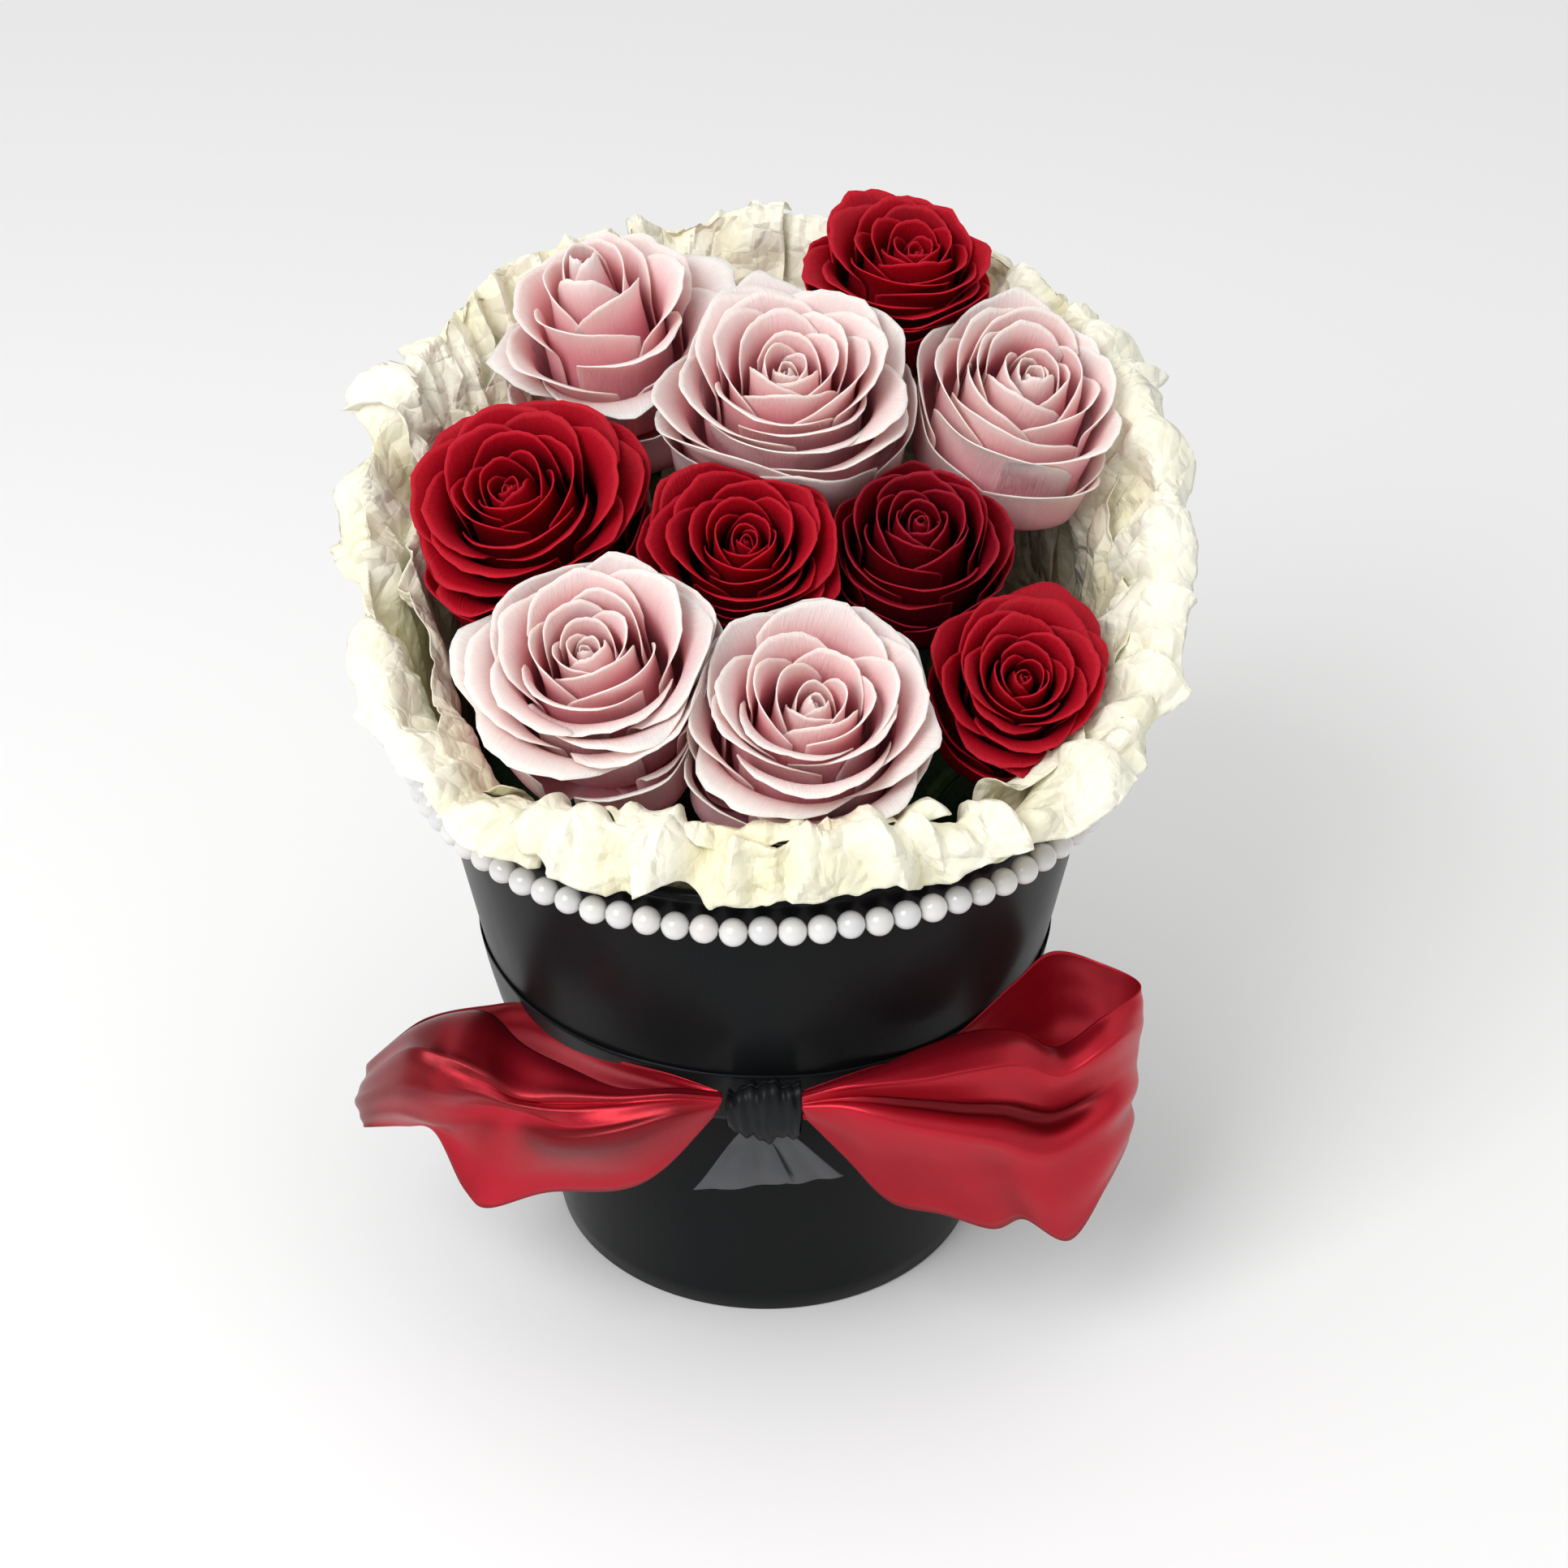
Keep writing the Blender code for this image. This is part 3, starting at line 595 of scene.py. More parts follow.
LEFT_NET = (
    ((-12, -84, 99), (-12, -85, 98), (-12, -85, 96), (-12, -86, 96), (-12, -86, 94)),
    ((-24, -80, 101), (-25, -80, 97), (-25, -80, 93), (-26, -80, 88), (-26, -80, 83)),
    ((-45, -69, 100), (-45, -68, 94), (-46, -67, 86), (-47, -67, 78), (-47, -68, 70)),
    ((-64, -50, 101), (-66, -50, 91), (-67, -50, 81), (-68, -50, 69), (-68, -52, 59)),
    ((-78, -42, 95), (-80, -42, 85), (-82, -42, 74), (-84, -43, 64), (-86, -46, 54)),
    ((-96, -42, 90), (-98, -43, 81), (-99, -44, 73), (-100, -46, 66), (-101, -48, 59)),
    ((-109, -54, 85), (-112, -56, 80), (-114, -58, 75), (-113, -60, 71), (-112, -62, 68)),
    ((-95, -60, 102), (-96, -76, 107), (-98, -80, 98), (-100, -76, 85), (-99, -70, 75)),
    ((-83, -60, 107), (-84, -82, 109), (-85, -86, 100), (-87, -80, 84), (-90, -76, 78)),
    ((-74, -62, 108), (-74, -86, 106), (-74, -88, 100), (-76, -84, 88), (-82, -84, 65)),
    ((-65, -70, 104), (-65, -88, 101), (-65, -90, 99), (-67, -86, 89), (-76, -84, 58)),
    ((-53, -78, 103), (-52, -90, 102), (-53, -92, 99), (-54, -96, 93), (-59, -88, 67)),
    ((-38, -86, 102), (-38, -93, 104), (-38, -94, 102), (-40, -100, 98), (-39, -93, 72)),
    ((-23, -91, 106), (-24, -95, 107), (-24, -95, 105), (-25, -99, 102), (-27, -95, 81)),
    ((-11, -92, 105), (-11, -94, 105), (-11, -94, 104), (-12, -95, 102), (-13, -94, 99)),
)

# Folds across each loop: place from the upper edge, -1, to the lower one, 1, and height in millimetres
RIGHT_FOLDS = (
    (-1.0, 0.0), (-0.62, 1.4), (-0.36, -1.4), (0.02, 1.8), (0.20, -1.6), (0.55, 1.0), (0.76, -0.9), (1.0, 0.6),
)
LEFT_FOLDS = (
    (-1.0, 0.4), (-0.58, -1.2), (-0.30, 1.5), (-0.04, -1.6), (0.26, 1.7), (0.50, -1.3), (0.80, 1.0), (1.0, -0.6),
)


def path_lengths(points, axis):
    """Distance run along one axis of a grid of points, from its first row or column."""
    steps = np.linalg.norm(np.diff(points, axis=axis), axis=-1)
    zero = np.zeros_like(np.take(steps, [0], axis))
    return np.concatenate([zero, np.cumsum(steps, axis)], axis)


def net_surface(net, along_steps, across_steps, crispness):
    """A surface through a control net: smooth along it, and creased across it by the given share."""
    along = catmull(np.asarray(net, float) / 1000, along_steps)
    columns = np.swapaxes(along, 0, 1)
    soft = catmull(columns, across_steps)
    last = len(columns) - 1
    at = np.linspace(0, last, last * across_steps + 1)
    i = np.minimum(at.astype(int), last - 1)
    t = (at - i)[:, None, None]
    straight = columns[i] * (1 - t) + columns[i + 1] * t
    return np.swapaxes(lerp(soft, straight, crispness), 0, 1)


def blur(values, rounds):
    """A grid of numbers, each averaged with its neighbours a few times over."""
    for _ in range(rounds):
        padded = np.pad(values, 1, "edge")
        values = (padded[:-2, 1:-1] + padded[2:, 1:-1] + padded[1:-1, :-2] + padded[1:-1, 2:]) / 4
    return values


def surface_normals(points):
    normal = np.cross(np.gradient(points, axis=0), np.gradient(points, axis=1))
    return normal / np.maximum(np.linalg.norm(normal, axis=-1, keepdims=True), 1e-9)


def ridges(points):
    """How far each point stands out from its surroundings across the ribbon, 0 in a valley to 1 on a ridge; the
    satin paints shade into the valleys by it.
    """
    normal = surface_normals(points)
    soft = np.stack([blur(points[..., k], 24) for k in range(3)], -1)
    out = ((points - soft) * normal).sum(-1)
    return np.clip(0.5 + blur(out, 3) / RIDGE_HEIGHT, 0, 1)


def ribbon_facts(points, ridge):
    return {"along": path_lengths(points, 0), "across": path_lengths(points, 1), "ridge": ridge}


def make_ribbon_piece(name, points, looks, key, node, folds, seed):
    """A satin sheet over a grid of points, with sharp folds and faint drag lines that run from the knot. folds
    are pairs: a place across the ribbon, -1 to 1, and how far it stands out there, in millimetres."""
    rng = np.random.default_rng(seed)
    rows, columns = points.shape[:2]
    side = np.linspace(-1, 1, columns)[None, :]
    run = np.linspace(0, 1, rows)[:, None]
    normal = surface_normals(points)
    drag = sum(
        np.sin(rng.uniform(5, 16) * side + rng.uniform(-4, 4) * run + rng.uniform(0, 6)) for _ in range(4)
    )
    fan = np.clip(np.sin(math.pi * run), 0, 1) ** 0.5
    front = smooth((run - FOLD_START) / 0.14) * smooth((1 - run) / 0.22)
    sharp = np.interp(side + 0.10 * np.sin(5 * run + seed), *np.transpose(folds)) / 1000
    points = points + normal * (DRAG_HEIGHT * fan * drag + front * sharp)[..., None]
    piece = add_piece(name, points.reshape(-1, 3), grid_faces(rows, columns), looks[key], "bucket", (node,),
                      ribbon_facts(points, ridges(points)))
    thicken(piece, RIBBON_THICKNESS)


def make_bow(looks):
    for side, net, folds, flat, seed in (
        ("right", RIGHT_NET, RIGHT_FOLDS, (0.050, 0.230), 5), ("left", LEFT_NET, LEFT_FOLDS, (0.042, 0.230), 6),
    ):
        make_ribbon_piece(f"bow_loop_{side}_ribbon", net_surface(net, *NET_STEPS, NET_CRISPNESS), looks, "red_satin",
                          f"bow_loop_{side}", folds, seed)


def make_knot(looks):
    """The black satin wrap round the bow's middle: a puffed band with deep gathers across it."""
    low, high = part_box("bow_knot")
    middle = (low + high) / 2
    half = (high - low) / 2
    rows, columns = 60, 46
    turn = np.linspace(0, 2 * math.pi, rows)[:, None]
    side = np.linspace(-1, 1, columns)[None, :]
    pinch = 1 - KNOT_PINCH * smooth(np.abs(side)) + 0.07 * np.sin(side * 9 + 1.3 * np.sin(turn))
    pinch = pinch + 0.05 * np.sin(side * 19 + 2 * np.cos(turn))
    up, out = np.cos(turn), -np.sin(turn)
    verts = np.stack([
        middle.x + half.x * side * (1 + 0.04 * np.sin(2 * turn)),
        middle.y + half.y * np.sign(out) * np.abs(out) ** KNOT_SQUARENESS * pinch,
        middle.z + half.z * np.sign(up) * np.abs(up) ** KNOT_SQUARENESS * pinch,
    ], -1)
    verts[..., 2] += 0.0012 * side * np.cos(turn)
    knot = add_piece("bow_knot_wrap", verts.reshape(-1, 3), grid_faces(rows, columns), looks["knot_satin"],
                     "bucket", ("bow_knot",), ribbon_facts(verts, 0.5 + 0 * pinch))
    thicken(knot, RIBBON_THICKNESS)


# node, middle and half width at the knot, how far it stands out at its cut end
TAILS = (("bow_tail_right", 0.0042, 0.0026, 0.0012), ("bow_tail_left", -0.0030, 0.0036, 0.0048))


def make_tails(looks):
    """Two short black tails below the knot: narrow at the knot and cut straight, with folds that fan out."""
    for node, near, near_half, out in TAILS:
        low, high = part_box(node)
        rows, columns = 26, 34
        run = np.linspace(0, 1, rows)[:, None]
        side = np.linspace(-1, 1, columns)[None, :]
        left, right = lerp(near - near_half, low.x, run), lerp(near + near_half, high.x, run)
        x = lerp(left, right, (side + 1) / 2)
        fold = TAIL_FOLD * run * np.abs(side + 0.45) - TAIL_RIPPLE * np.cos(7 * side + 1) * run
        y = high.y - TAIL_CLEAR - (TAIL_STANDOFF + out * smooth(run)) * (1 + 0 * side) + fold
        z = lerp(high.z + TAIL_TUCK, low.z + TAIL_CLEAR * side, run)
        verts = np.stack([x, y, z + 0 * x], -1)
        tail = add_piece(f"{node}_ribbon", verts.reshape(-1, 3), grid_faces(rows, columns), looks["black_satin"],
                         "bucket", (node,), ribbon_facts(verts, ridges(verts)))
        thicken(tail, RIBBON_THICKNESS)


# Tissue collar

def collar_height(angle):
    """How far the collar's top stands above its bend at an angle."""
    return COLLAR_FRONT_TOP - TISSUE_BEND[1] + COLLAR_BACK_RISE * smooth((1 + np.sin(angle)) / 2)


def front_share(angle):
    """1 where the collar rolls over the lip in front, 0 where it stands up."""
    return smooth((-np.sin(angle) - FRONT_START) / FRONT_SPAN)


def collar_stations(angle):
    """(radius, height) of the collar at an angle, from the foam's edge to its free edge: rolled over the lip
    in front, flared at the sides and standing tall behind. Arrays over angle, one pair to a station."""
    level = 0 * angle
    top_r, top_z = COLLAR_TOP_RADIUS + level, TISSUE_BEND[1] + collar_height(angle)
    knee_r, knee_z = COLLAR_KNEE
    flare = [(r + level, z + level) for r, z in (TISSUE_FOOT, TISSUE_TUCK, TISSUE_BEND)]
    flare += [(lerp(TISSUE_BEND[0], top_r, knee_r), lerp(TISSUE_BEND[1], top_z, knee_z)), (top_r, top_z)]
    flare += [(top_r + cuff_r, top_z + cuff_z) for cuff_r, cuff_z in COLLAR_CUFFS]
    front = front_share(angle)
    rolled = [
        (lerp(r, roll_r, front), lerp(z, roll_z, front))
        for (r, z), (roll_r, roll_z) in zip(flare[2:], TISSUE_ROLL)
    ]
    return np.array(flare[:2] + rolled)


def facets(place, spacing, stretch, rng):
    """Random vectors over an irregular triangulation of a plane, linear in each triangle: flat facets that
    meet in creases. place is (n, 2) in metres, and stretch makes the facets long in the second direction."""
    scaled = place / np.array([spacing, spacing * stretch])
    low, high = scaled.min(0) - 1.5, scaled.max(0) + 1.5
    counts = np.ceil(high - low).astype(int)
    gx, gy = np.meshgrid(np.arange(counts[0]), np.arange(counts[1]))
    seeds = np.stack([gx.ravel(), gy.ravel()], -1) + low + rng.uniform(-0.42, 0.42, (gx.size, 2))
    corners, _, triangles, *_ = delaunay_2d_cdt([Vector(s) for s in seeds.tolist()], [], [], 0, 1e-6)
    corners = np.array([tuple(c) for c in corners])
    heights = rng.uniform(-1, 1, (len(corners), 3))
    out = np.zeros((len(place), 3))
    for a, b, c in triangles:
        pa, pb, pc = corners[a], corners[b], corners[c]
        near_low, near_high = np.minimum(np.minimum(pa, pb), pc), np.maximum(np.maximum(pa, pb), pc)
        inside = np.where(((scaled >= near_low) & (scaled <= near_high)).all(1))[0]
        if not len(inside):
            continue
        u, v, w = pb - pa, pc - pa, scaled[inside] - pa
        area = u[0] * v[1] - u[1] * v[0]
        s = (w[:, 0] * v[1] - w[:, 1] * v[0]) / area
        t = (u[0] * w[:, 1] - u[1] * w[:, 0]) / area
        hit = (s >= -1e-6) & (t >= -1e-6) & (s + t <= 1 + 1e-6)
        s, t = s[hit, None], t[hit, None]
        out[inside[hit]] = heights[a] * (1 - s - t) + heights[b] * s + heights[c] * t
    return out


def make_tissue(looks, name, node, start, stop, seed, tuck_in, size, crumple):
    """One crumpled sheet of the collar. tuck_in draws it in towards the roses, size scales its height, and
    crumple its folds."""
    rng = np.random.default_rng(seed)
    start, stop = math.radians(start), math.radians(stop)
    columns = int((stop - start) * TISSUE_GRID_RADIUS / TISSUE_CELL)
    angle = np.linspace(start, stop, columns)
    stations = collar_stations(angle)
    stations[2:, 0] -= tuck_in
    path = catmull(stations, 16)
    length = path_lengths(np.moveaxis(path, 1, 2), 0)
    knots = np.arange(start - 0.2, stop + 0.2, RAGGED_STEP)
    ragged = np.interp(angle, knots, rng.uniform(-1, 1, len(knots)))
    reach = np.linspace(0, 1, TISSUE_ROWS)[:, None] * (size + RAGGED_HEIGHT * ragged)

    # The smooth collar, run on in a straight line where the ragged edge reaches past its end
    r, z = np.zeros((2, TISSUE_ROWS, columns))
    for i in range(columns):
        share = length[:, i] / length[-1, i]
        r[:, i] = np.interp(reach[:, i], share, path[:, 0, i])
        z[:, i] = np.interp(reach[:, i], share, path[:, 1, i])
        over = np.maximum(reach[:, i] - 1, 0) * length[-1, i]
        end = path[-1, :, i] - path[-3, :, i]
        end /= np.linalg.norm(end)
        r[:, i] += over * end[0]
        z[:, i] += over * end[1]
    dr, dz = np.gradient(r, axis=0), np.gradient(z, axis=0)
    step = np.maximum(np.hypot(dr, dz), 1e-9)
    out_r, out_z = dz / step, -dr / step

    # Pleats and facets, which grow from nothing at the tucked-in foot
    run = reach * length[-1]
    arc = (angle - start)[None, :] * TISSUE_ARC_RADIUS + 0 * run
    slant = arc + PLEAT_SLANT * run * np.sin(angle * 3 + seed)
    pleat_knots = np.cumsum(rng.uniform(*PLEAT_WIDTHS, PLEATS)) - 0.02
    swing = np.where(np.arange(PLEATS) % 2 == 0, 1, -1) * rng.uniform(0.3, 1.0, PLEATS)
    pleats = np.interp(slant, pleat_knots, swing)
    place = np.stack([arc.ravel(), run.ravel()], -1)
    big, mid, small = (
        facets(place, spacing, stretch, rng).reshape(TISSUE_ROWS, columns, 3) for spacing, stretch in FACETS
    )
    tall = np.minimum(length[-1] / TISSUE_TALL, 1.2)[None, :]
    grow = smooth((reach - 0.16) / 0.55) * crumple
    pleats = pleats * (0.55 + 0.45 * big[..., 1])
    push = grow * tall * (PLEAT_OUT * pleats + FACETS_OUT[0] * big[..., 0])
    push = push + grow * (FACETS_OUT[1] * mid[..., 0] + FACETS_OUT[2] * small[..., 0])
    slide = grow * (FACETS_ALONG[0] * big[..., 1] + FACETS_ALONG[1] * mid[..., 1]) / TISSUE_ARC_RADIUS
    climb = grow * (FACETS_UP[0] * big[..., 2] + FACETS_UP[1] * mid[..., 2])
    r = r + push * out_r + climb * dr / step
    z = z + push * out_z + climb * dz / step
    turned = angle[None, :] + slide
    verts = np.stack([r * np.cos(turned), r * np.sin(turned), z], -1)
    # crease: how far pleats and facets push the sheet out; the paper paints shade in its fold valleys by it
    crease = np.clip(0.5 + 0.5 * (0.5 * pleats + 0.9 * big[..., 0] + 0.5 * mid[..., 0]), 0, 1)
    sheet = add_piece(name, verts.reshape(-1, 3), grid_faces(TISSUE_ROWS, columns), looks["tissue"], "insert",
                      (node,), {"reach": np.clip(reach, 0, 1), "crease": 1 - crease})
    sheet.data.set_sharp_from_angle(angle=CREASE_ANGLE)
    thicken(sheet, TISSUE_THICKNESS)


# node, first and last angle, seed, flat size of the sheet and of the frill inside it
TISSUE_SHEETS = (
    ("tissue_front", -128, -52, 21, (0.055, 0.150), (0.040, 0.110)),
    ("tissue_right", -58, 20, 22, (0.077, 0.170), (0.055, 0.120)),
    ("tissue_back_right", 14, 92, 23, (0.110, 0.180), (0.075, 0.140)),
    ("tissue_back_left", 86, 165, 24, (0.110, 0.180), (0.075, 0.140)),
    ("tissue_left", 159, 236, 25, (0.077, 0.170), (0.055, 0.120)),
)


def make_collar(looks):
    """Five overlapping sheets, each with a lower frill inside it."""
    for node, start, stop, seed, flat, frill_flat in TISSUE_SHEETS:
        make_tissue(looks, f"{node}_sheet", node, start, stop, seed, 0.0, 1.0, 1.0)
        make_tissue(looks, f"{node}_frill", node, start + 9, stop - 9, seed + 30, 0.0050, 0.76, 0.75)


# Roses

OPEN_ROSE = dict(
    petals=31, skirt=5, at=(0, 0.12, 0.30, 0.50, 0.72, 1.0),
    shoulder_r=(0.030, 0.11, 0.26, 0.42, 0.57, 0.70), shoulder_z=(-0.10, -0.05, 0.02, 0.06, 0.00, -0.14),
    lean=(0, -6, -2, 6, 12, 20), bend=(-25, -5, 12, 38, 62, 84),
    blade=(0.20, 0.25, 0.31, 0.35, 0.39, 0.42), width=(0.30, 0.42, 0.66, 0.86, 0.96, 1.0),
)
CUP_ROSE = dict(
    OPEN_ROSE, petals=27, skirt=4,
    shoulder_r=(0.030, 0.10, 0.24, 0.40, 0.56, 0.74), shoulder_z=(0.02, 0.06, 0.10, 0.08, 0.02, -0.12),
    lean=(0, -8, -8, -4, 0, 6), bend=(-20, -12, 0, 18, 40, 62), blade=(0.20, 0.26, 0.32, 0.36, 0.38, 0.38),
)
BUD_ROSE = dict(
    OPEN_ROSE, petals=21, skirt=4,
    shoulder_r=(0.04, 0.13, 0.28, 0.42, 0.56, 0.70), shoulder_z=(0.40, 0.44, 0.34, 0.14, -0.04, -0.16),
    lean=(-12, -10, -6, 4, 12, 20), bend=(-30, -10, 8, 36, 58, 76),
    blade=(0.26, 0.30, 0.36, 0.44, 0.50, 0.50), width=(0.30, 0.46, 0.80, 0.92, 1.0, 1.0),
)

# name, look, radius, lean towards -Y and +X in degrees, style, heart shift (right, up), stretch sideways, seed
ROSES = (
    ("pink_rose_1", "pink", 0.0325, 20, -6, BUD_ROSE, (-0.38, 0.30), 1.00, 31),
    ("pink_rose_2", "pink", 0.0355, 22, 0, OPEN_ROSE, (-0.02, 0.08), 1.00, 32),
    ("pink_rose_3", "pink", 0.0308, 24, 8, CUP_ROSE, (0.06, 0.04), 0.98, 33),
    ("pink_rose_4", "pink", 0.0345, 26, -6, OPEN_ROSE, (-0.18, 0.08), 1.02, 34),
    ("pink_rose_5", "pink", 0.0345, 24, 4, OPEN_ROSE, (0.10, 0.04), 1.02, 35),
    ("red_rose_1", "red", 0.0265, 16, 4, OPEN_ROSE, (0.26, 0.16), 1.00, 36),
    ("red_rose_2", "red", 0.0320, 28, -10, OPEN_ROSE, (-0.20, 0.12), 1.00, 37),
    ("red_rose_3", "red", 0.0274, 32, 0, OPEN_ROSE, (0.06, 0.08), 1.00, 38),
    ("red_rose_4", "wine", 0.0238, 26, 2, CUP_ROSE, (0.06, 0.16), 0.98, 39),
    ("red_rose_5", "red", 0.0244, 34, 6, OPEN_ROSE, (0.02, 0.02), 0.98, 40),
)
SKIRT = dict(shoulder_r=0.80, shoulder_z=-0.30, lean=4, bend=44, blade=0.30, width=0.95)
BLOOM_BASE = 0.90
CALYX_DEPTH = 0.30
BLOOM_SIZE = 1.05

def lean_axis(forward, sideways):
    return Vector((math.tan(math.radians(sideways)), -math.tan(math.radians(forward)), 1)).normalized()


def rose_middle(name, radius, axis):
    """Middle of a bloom, from the corners of its CAD calyx, which lie evenly about the bloom's axis."""
    corners = {tuple(round(c, 5) for c in vert.co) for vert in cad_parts[name + "_calyx"].data.vertices}
    return Vector(np.mean(list(corners), 0)) + axis * radius * (BLOOM_BASE + CALYX_DEPTH / 2)


def petal_grid(style, s, spin, rng, skirt=False):
    """One petal: a cupped blade that climbs from the hip and rolls back at its rim. s runs from the heart, 0,
    to the guard petals, 1. Units are bloom radii, with the bloom's axis along z."""
    def styled(key):
        return SKIRT[key] if skirt else np.interp(s, style["at"], style[key])
    u = np.linspace(-1, 1, PETAL_ACROSS + 1)[None, :]
    v = np.linspace(0, 1, PETAL_UP + 1)[:, None]
    grow = 1 + 0.04 * rng.standard_normal()
    droop = PETAL_DROOP * (1 + 0.2 * rng.standard_normal())
    tip = PETAL_POINT * np.exp(-(u / 0.15) ** 2) * smooth((s - 0.25) / 0.4)
    jag = PETAL_JAGS[0] * np.sin(u * rng.uniform(7, 11) + rng.uniform(0, 6))
    jag = jag + PETAL_JAGS[1] * np.sin(u * rng.uniform(19, 27) + rng.uniform(0, 6))
    skew = 0.05 * rng.standard_normal()
    reach = 1 - droop * np.abs(u) ** 2.4 + tip + jag + skew * u
    k = styled("shoulder_r") * grow
    h = styled("shoulder_z") + 0.02 * rng.standard_normal()
    bend = math.radians(styled("bend") + PETAL_BEND_SPREAD * rng.standard_normal())
    blade, lean = styled("blade"), math.radians(styled("lean"))
    t = v * reach
    low = np.clip(t / PETAL_SPLIT, 0, 1)
    near = (0.05 + 0.05 * s, -0.86)
    cup = (0.12 + k * 0.98, lerp(-0.84, -0.74, s))
    under = (k - math.tan(lean) * (h + 0.5) * 0.6, lerp(h - 0.45, h - 0.35, s))
    r, z = (bezier(low, *ends) for ends in zip(near, cup, under, (k, h)))
    q = np.clip((t - PETAL_SPLIT) / (1 - PETAL_SPLIT), 0, 1.2)
    turn = bend * (0.72 + 0.55 * np.abs(u) ** 2)
    f = (np.arange(ROLL_STEPS) + 0.5) / ROLL_STEPS
    ang = lean + turn[..., None] * (q[..., None] * f) ** 1.25
    r = r + blade * q * np.sin(ang).mean(-1)
    z = z + blade * q * np.cos(ang).mean(-1)
    most = lerp(*PETAL_WRAP, smooth(s / 0.4))
    half = most * (1 - np.exp(-(styled("width") / np.maximum(r, 0.03)) / most))
    a = spin + half * u
    wave = rng.uniform(0, 6, 3)
    ripple = np.sin(3.1 * u + wave[0]) + 0.5 * np.sin(6.7 * u + wave[1])
    z = z + PETAL_RIPPLE * ripple * t ** 3 * (0.3 + s)
    r = r + PETAL_SWAY * np.sin(2.3 * u + wave[2]) * t ** 2 * (0.3 + s)
    side = half * u * np.maximum(r, 0.05)
    rim = np.minimum((1 - v) * (0.9 + blade), np.abs(1 - np.abs(u)) * half * np.maximum(r, 0.05))
    return np.stack([r * np.cos(a), r * np.sin(a), z], -1), v + 0 * t, side, rim


def make_petals(style, shift, stretch, seed):
    """All the petals of a bloom in bloom radii: points, and the rise, layer, across and rim of each."""
    rng = np.random.default_rng(seed)
    turn = rng.uniform(0, 2 * math.pi)
    grids, facts = [], {"rise": [], "layer": [], "across": [], "rim": []}
    for i in range(style["petals"] + style["skirt"]):
        s = min(i / (style["petals"] - 1), 1)
        spin = turn + i * GOLDEN_ANGLE + PETAL_SPIN_SPREAD * rng.standard_normal()
        points, rise, side, rim = petal_grid(style, s, spin, rng, skirt=i >= style["petals"])
        out = np.linalg.norm(points[..., :2], axis=-1, keepdims=True)
        points[..., :2] += np.array(shift) * np.clip(1 - out, 0, 1)
        points[..., 0] *= stretch
        grids.append(points)
        for values, grid in zip(facts.values(), (rise, np.full(rise.shape, s), side, rim)):
            values.append(grid)
    points = np.stack(grids)
    outer = np.percentile(np.linalg.norm(points[..., :2], axis=-1), 99)
    points[..., :2] /= outer
    return points, {key: np.stack(value) for key, value in facts.items()}


def press(points, middle, neighbours):
    """Flattens petals softly where they meet the neighbouring blooms and the collar."""
    for normal, limit in neighbours:
        d = (points - middle) @ normal
        start = limit * PRESS_SOFT
        over = np.maximum(d - start, 0)
        squeezed = (limit - start) * (1 - np.exp(-over / (limit - start)))
        points = points + (squeezed - over)[..., None] * normal
    out = np.hypot(points[..., 0], points[..., 1])
    angle = np.arctan2(points[..., 1], points[..., 0])
    share = np.maximum((points[..., 2] - TISSUE_BEND[1]) / collar_height(angle), 0)
    knee = COLLAR_KNEE[1]
    flare = COLLAR_SLOPES[0] * np.minimum(share, knee) + COLLAR_SLOPES[1] * np.maximum(share - knee, 0)
    limit = TISSUE_BEND[0] - COLLAR_CLEAR + COLLAR_SPREAD * flare
    limit = lerp(limit, COLLAR_FRONT_LIMIT, front_share(angle))
    over = np.maximum(out - (limit - COLLAR_SOFT), 0)
    squeezed = COLLAR_SOFT * (1 - np.exp(-over / COLLAR_SOFT))
    points[..., :2] *= ((out + squeezed - over) / np.maximum(out, 1e-9))[..., None]
    return points


def make_rose(looks, rose, middles):
    """One bloom. middles holds every bloom's middle and radius."""
    name, look, radius, forward, sideways, style, shift, stretch, seed = rose
    axis = lean_axis(forward, sideways)
    middle = middles[name][0]
    frame_turn = np.array(axis.to_track_quat("Z", "Y").to_matrix())
    points, facts = make_petals(style, shift, stretch, seed)
    points = points * radius * BLOOM_SIZE @ frame_turn.T + np.array(middle)
    neighbours = []
    for other, (place, size) in middles.items():
        apart = place - middle
        if other != name and apart.length < (radius + size) * NEIGHBOUR_REACH:
            share = 0.5 + (radius - size) / (2 * apart.length)
            neighbours.append((np.array(apart.normalized()), apart.length * share + LAP))
    points = press(points, np.array(middle), neighbours)
    cells = (PETAL_UP + 1) * (PETAL_ACROSS + 1)
    faces = []
    for k in range(len(points)):
        faces += grid_faces(PETAL_UP + 1, PETAL_ACROSS + 1, start=k * cells)
    bloom = add_piece(name + "_petals", points.reshape(-1, 3), faces, looks[look], "insert",
                      (name + "_bloom",), facts)
    thicken(bloom, PETAL_THICKNESS)
    make_sepals(looks, name, radius, middle, frame_turn, seed)


# Outline of the green hip under a bloom, (radius, height) in bloom radii, and the grid of each sepal
HIP = ((0.085, -1.20), (0.10, -1.16), (0.15, -1.06), (0.185, -0.97), (0.17, -0.90), (0.10, -0.87))
SEPALS = 5
SEPAL_ROWS = 15
SEPAL_COLUMNS = 7


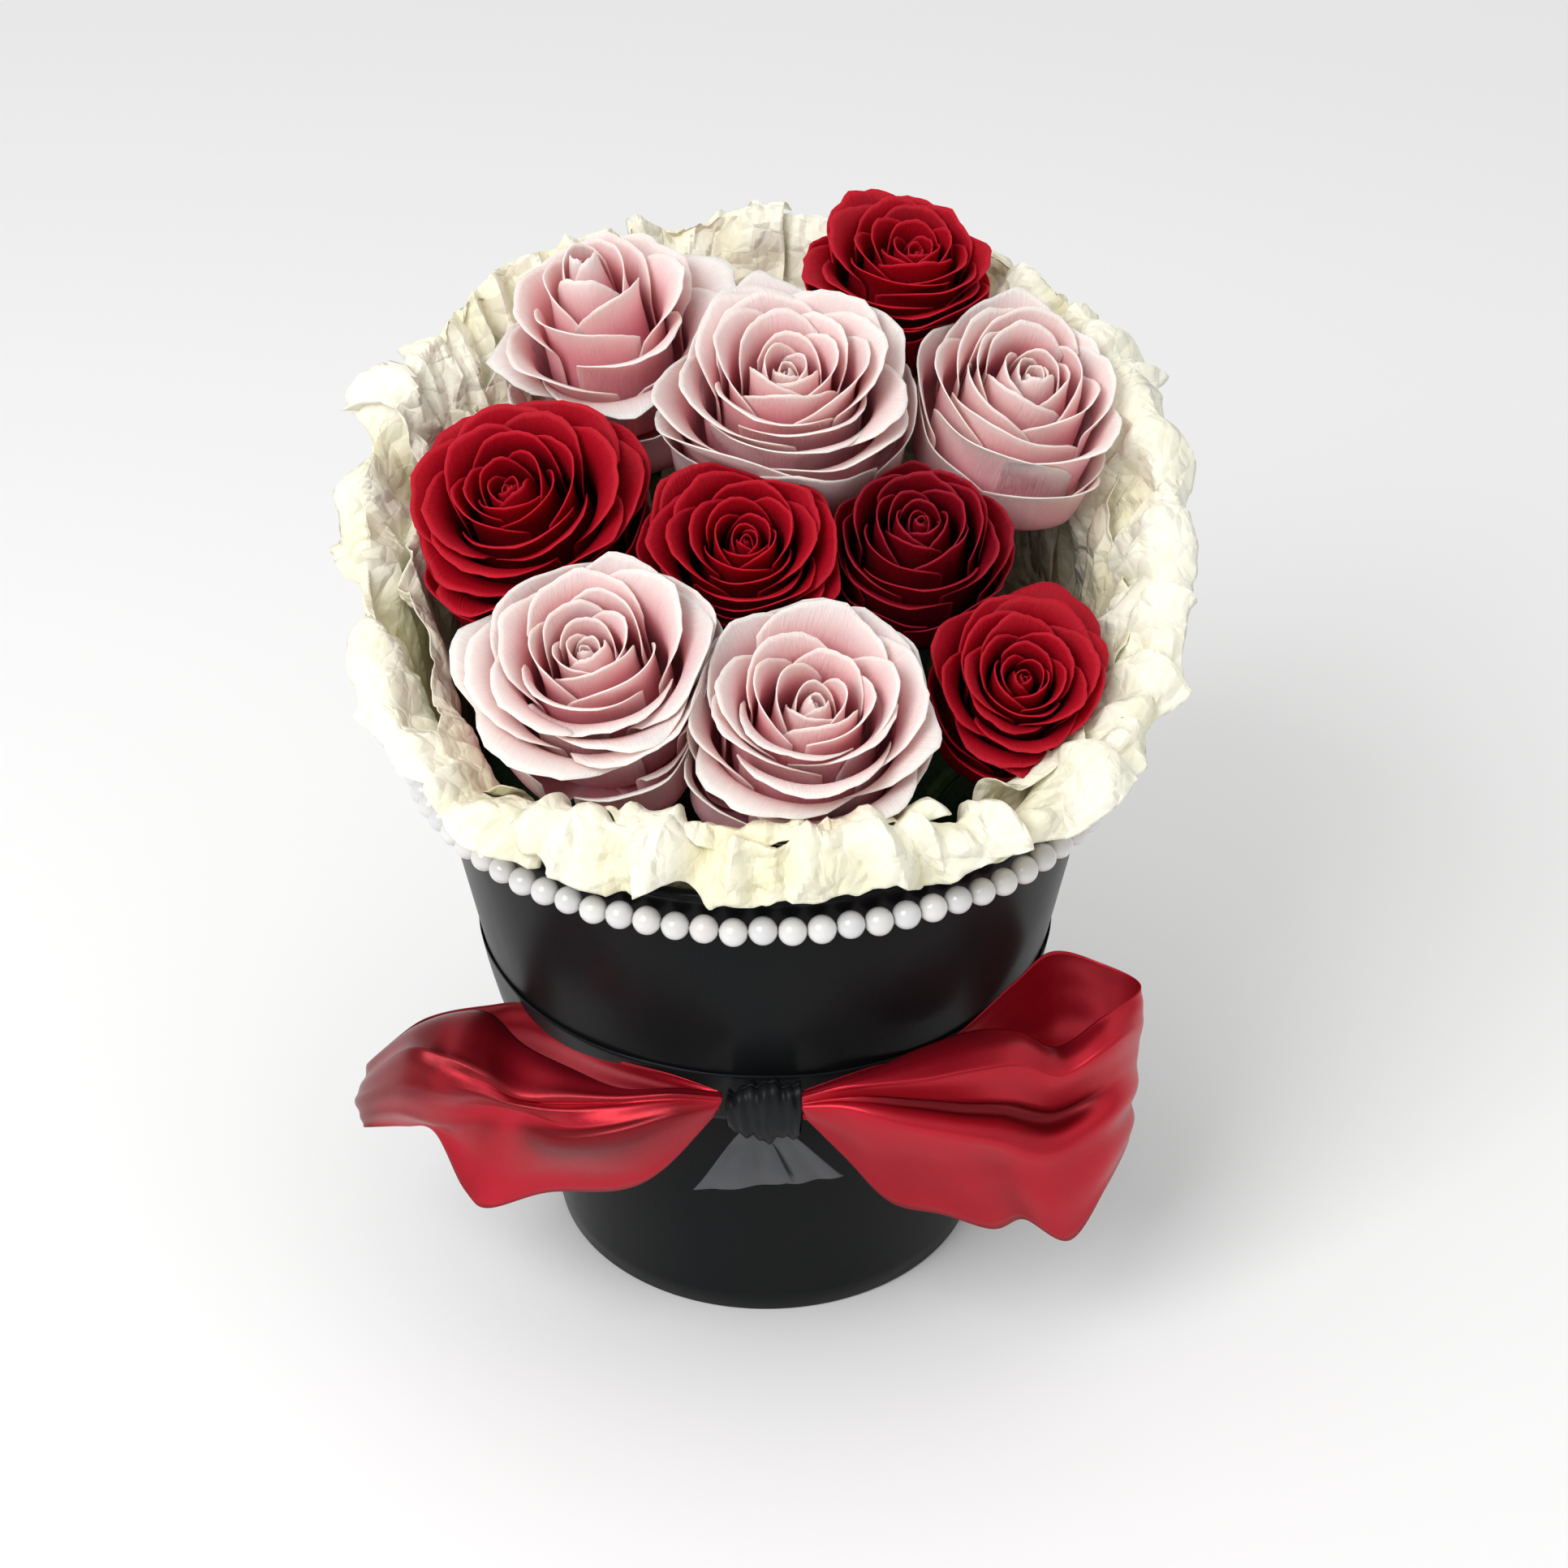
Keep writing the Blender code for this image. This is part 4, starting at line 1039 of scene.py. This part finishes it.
def make_sepals(looks, name, radius, middle, frame_turn, seed):
    """The green hip under a bloom and its five pointed sepals, curled back."""
    rng = np.random.default_rng(seed + 100)
    verts, faces = lathe(catmull(HIP, 4), 28)
    verts = [verts]
    count = len(verts[0])
    for k in range(SEPALS):
        t = np.linspace(0, 1, SEPAL_ROWS)[:, None]
        u = np.linspace(-1, 1, SEPAL_COLUMNS)[None, :]
        spin = math.radians(360 / SEPALS * k + 8 * rng.standard_normal())
        half = 0.10 * np.sin(math.pi * (0.15 + 0.85 * t)) ** 0.9 + 0.004
        out = 0.15 + 0.40 * t - 0.06 * t * t
        rise = -0.93 - 0.05 * np.sin(2.2 * t) - 0.16 * t ** 2 + 0.02 * u * u
        x = out * math.cos(spin) - half * u * math.sin(spin)
        y = out * math.sin(spin) + half * u * math.cos(spin)
        verts.append(np.stack([x, y, rise + 0 * x], -1).reshape(-1, 3))
        faces += grid_faces(SEPAL_ROWS, SEPAL_COLUMNS, start=count)
        count += SEPAL_ROWS * SEPAL_COLUMNS
    placed = np.concatenate(verts) * radius @ frame_turn.T + np.array(middle)
    add_piece(name + "_sepals", placed, faces, looks["sepal"], "insert", (name + "_calyx",))


def make_roses(looks):
    middles = {}
    for name, _, radius, forward, sideways, *_ in ROSES:
        middles[name] = (rose_middle(name, radius, lean_axis(forward, sideways)), radius)
    for rose in ROSES:
        make_rose(looks, rose, middles)


# CAD nodes that keep their shape

def dress_cad_nodes(looks):
    kept = {"base_board": "gloss", "liner_pot": "film", "foam_lower_block": "foam", "foam_upper_block": "foam"}
    kept.update({name + "_stem": "stem" for name, *_ in ROSES})
    for node, look in kept.items():
        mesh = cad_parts[node].data
        mesh.materials.clear()
        mesh.materials.append(looks[look])


# Stage, light and camera

def make_floor():
    half = FLOOR_SIDE / 2
    mesh = bpy.data.meshes.new("floor")
    mesh.from_pydata([(-half, -half, 0), (half, -half, 0), (half, half, 0), (-half, half, 0)], [], [(0, 1, 2, 3)])
    mesh.materials.append(new_material("pale_floor", (0.90, 0.90, 0.90), 0.9, Specular_IOR_Level=0.0))
    add_object("floor", mesh)


def make_light():
    """A white world that brightens upwards, and one large soft lamp from the front left."""
    world = bpy.data.worlds.new("soft_white")
    world.use_nodes = True
    nodes, links = world.node_tree.nodes, world.node_tree.links
    direction = nodes.new("ShaderNodeTexCoord")
    split = nodes.new("ShaderNodeSeparateXYZ")
    climb = nodes.new("ShaderNodeMapRange")
    climb.inputs["To Min"].default_value = WORLD_LOW
    climb.inputs["To Max"].default_value = WORLD_HIGH
    links.new(direction.outputs["Generated"], split.inputs[0])
    links.new(split.outputs["Z"], climb.inputs["Value"])
    sky = nodes["Background"].inputs
    links.new(climb.outputs["Result"], sky["Strength"])
    sky["Color"].default_value = (1, 1, 1, 1)
    bpy.context.scene.world = world
    key = bpy.data.lights.new("key", "AREA")
    key.energy = KEY_POWER
    key.size = KEY_SIZE
    lamp = add_object("key", key)
    lamp.location = KEY_PLACE
    lamp.rotation_euler = (Vector(CAMERA_AIM) - Vector(KEY_PLACE)).to_track_quat("-Z", "Y").to_euler()


def make_camera():
    lens = bpy.data.cameras.new("camera")
    lens.lens = LENS
    lens.sensor_width = SENSOR
    camera = add_object("camera", lens)
    elevation = math.radians(CAMERA_ELEVATION)
    away = Vector((0, -math.cos(elevation), math.sin(elevation))) * CAMERA_DISTANCE
    camera.location = Vector(CAMERA_AIM) + away
    camera.rotation_euler = (math.pi / 2 - elevation, 0, 0)
    bpy.context.scene.camera = camera
    bpy.context.scene.view_settings.view_transform = "Standard"


def main():
    looks = make_materials()
    for make in (make_bucket, make_pearls, make_waist_ribbon, make_bow, make_knot, make_tails, make_collar,
                 make_roses, dress_cad_nodes):
        make(looks)
    make_floor()
    make_light()
    make_camera()


main()
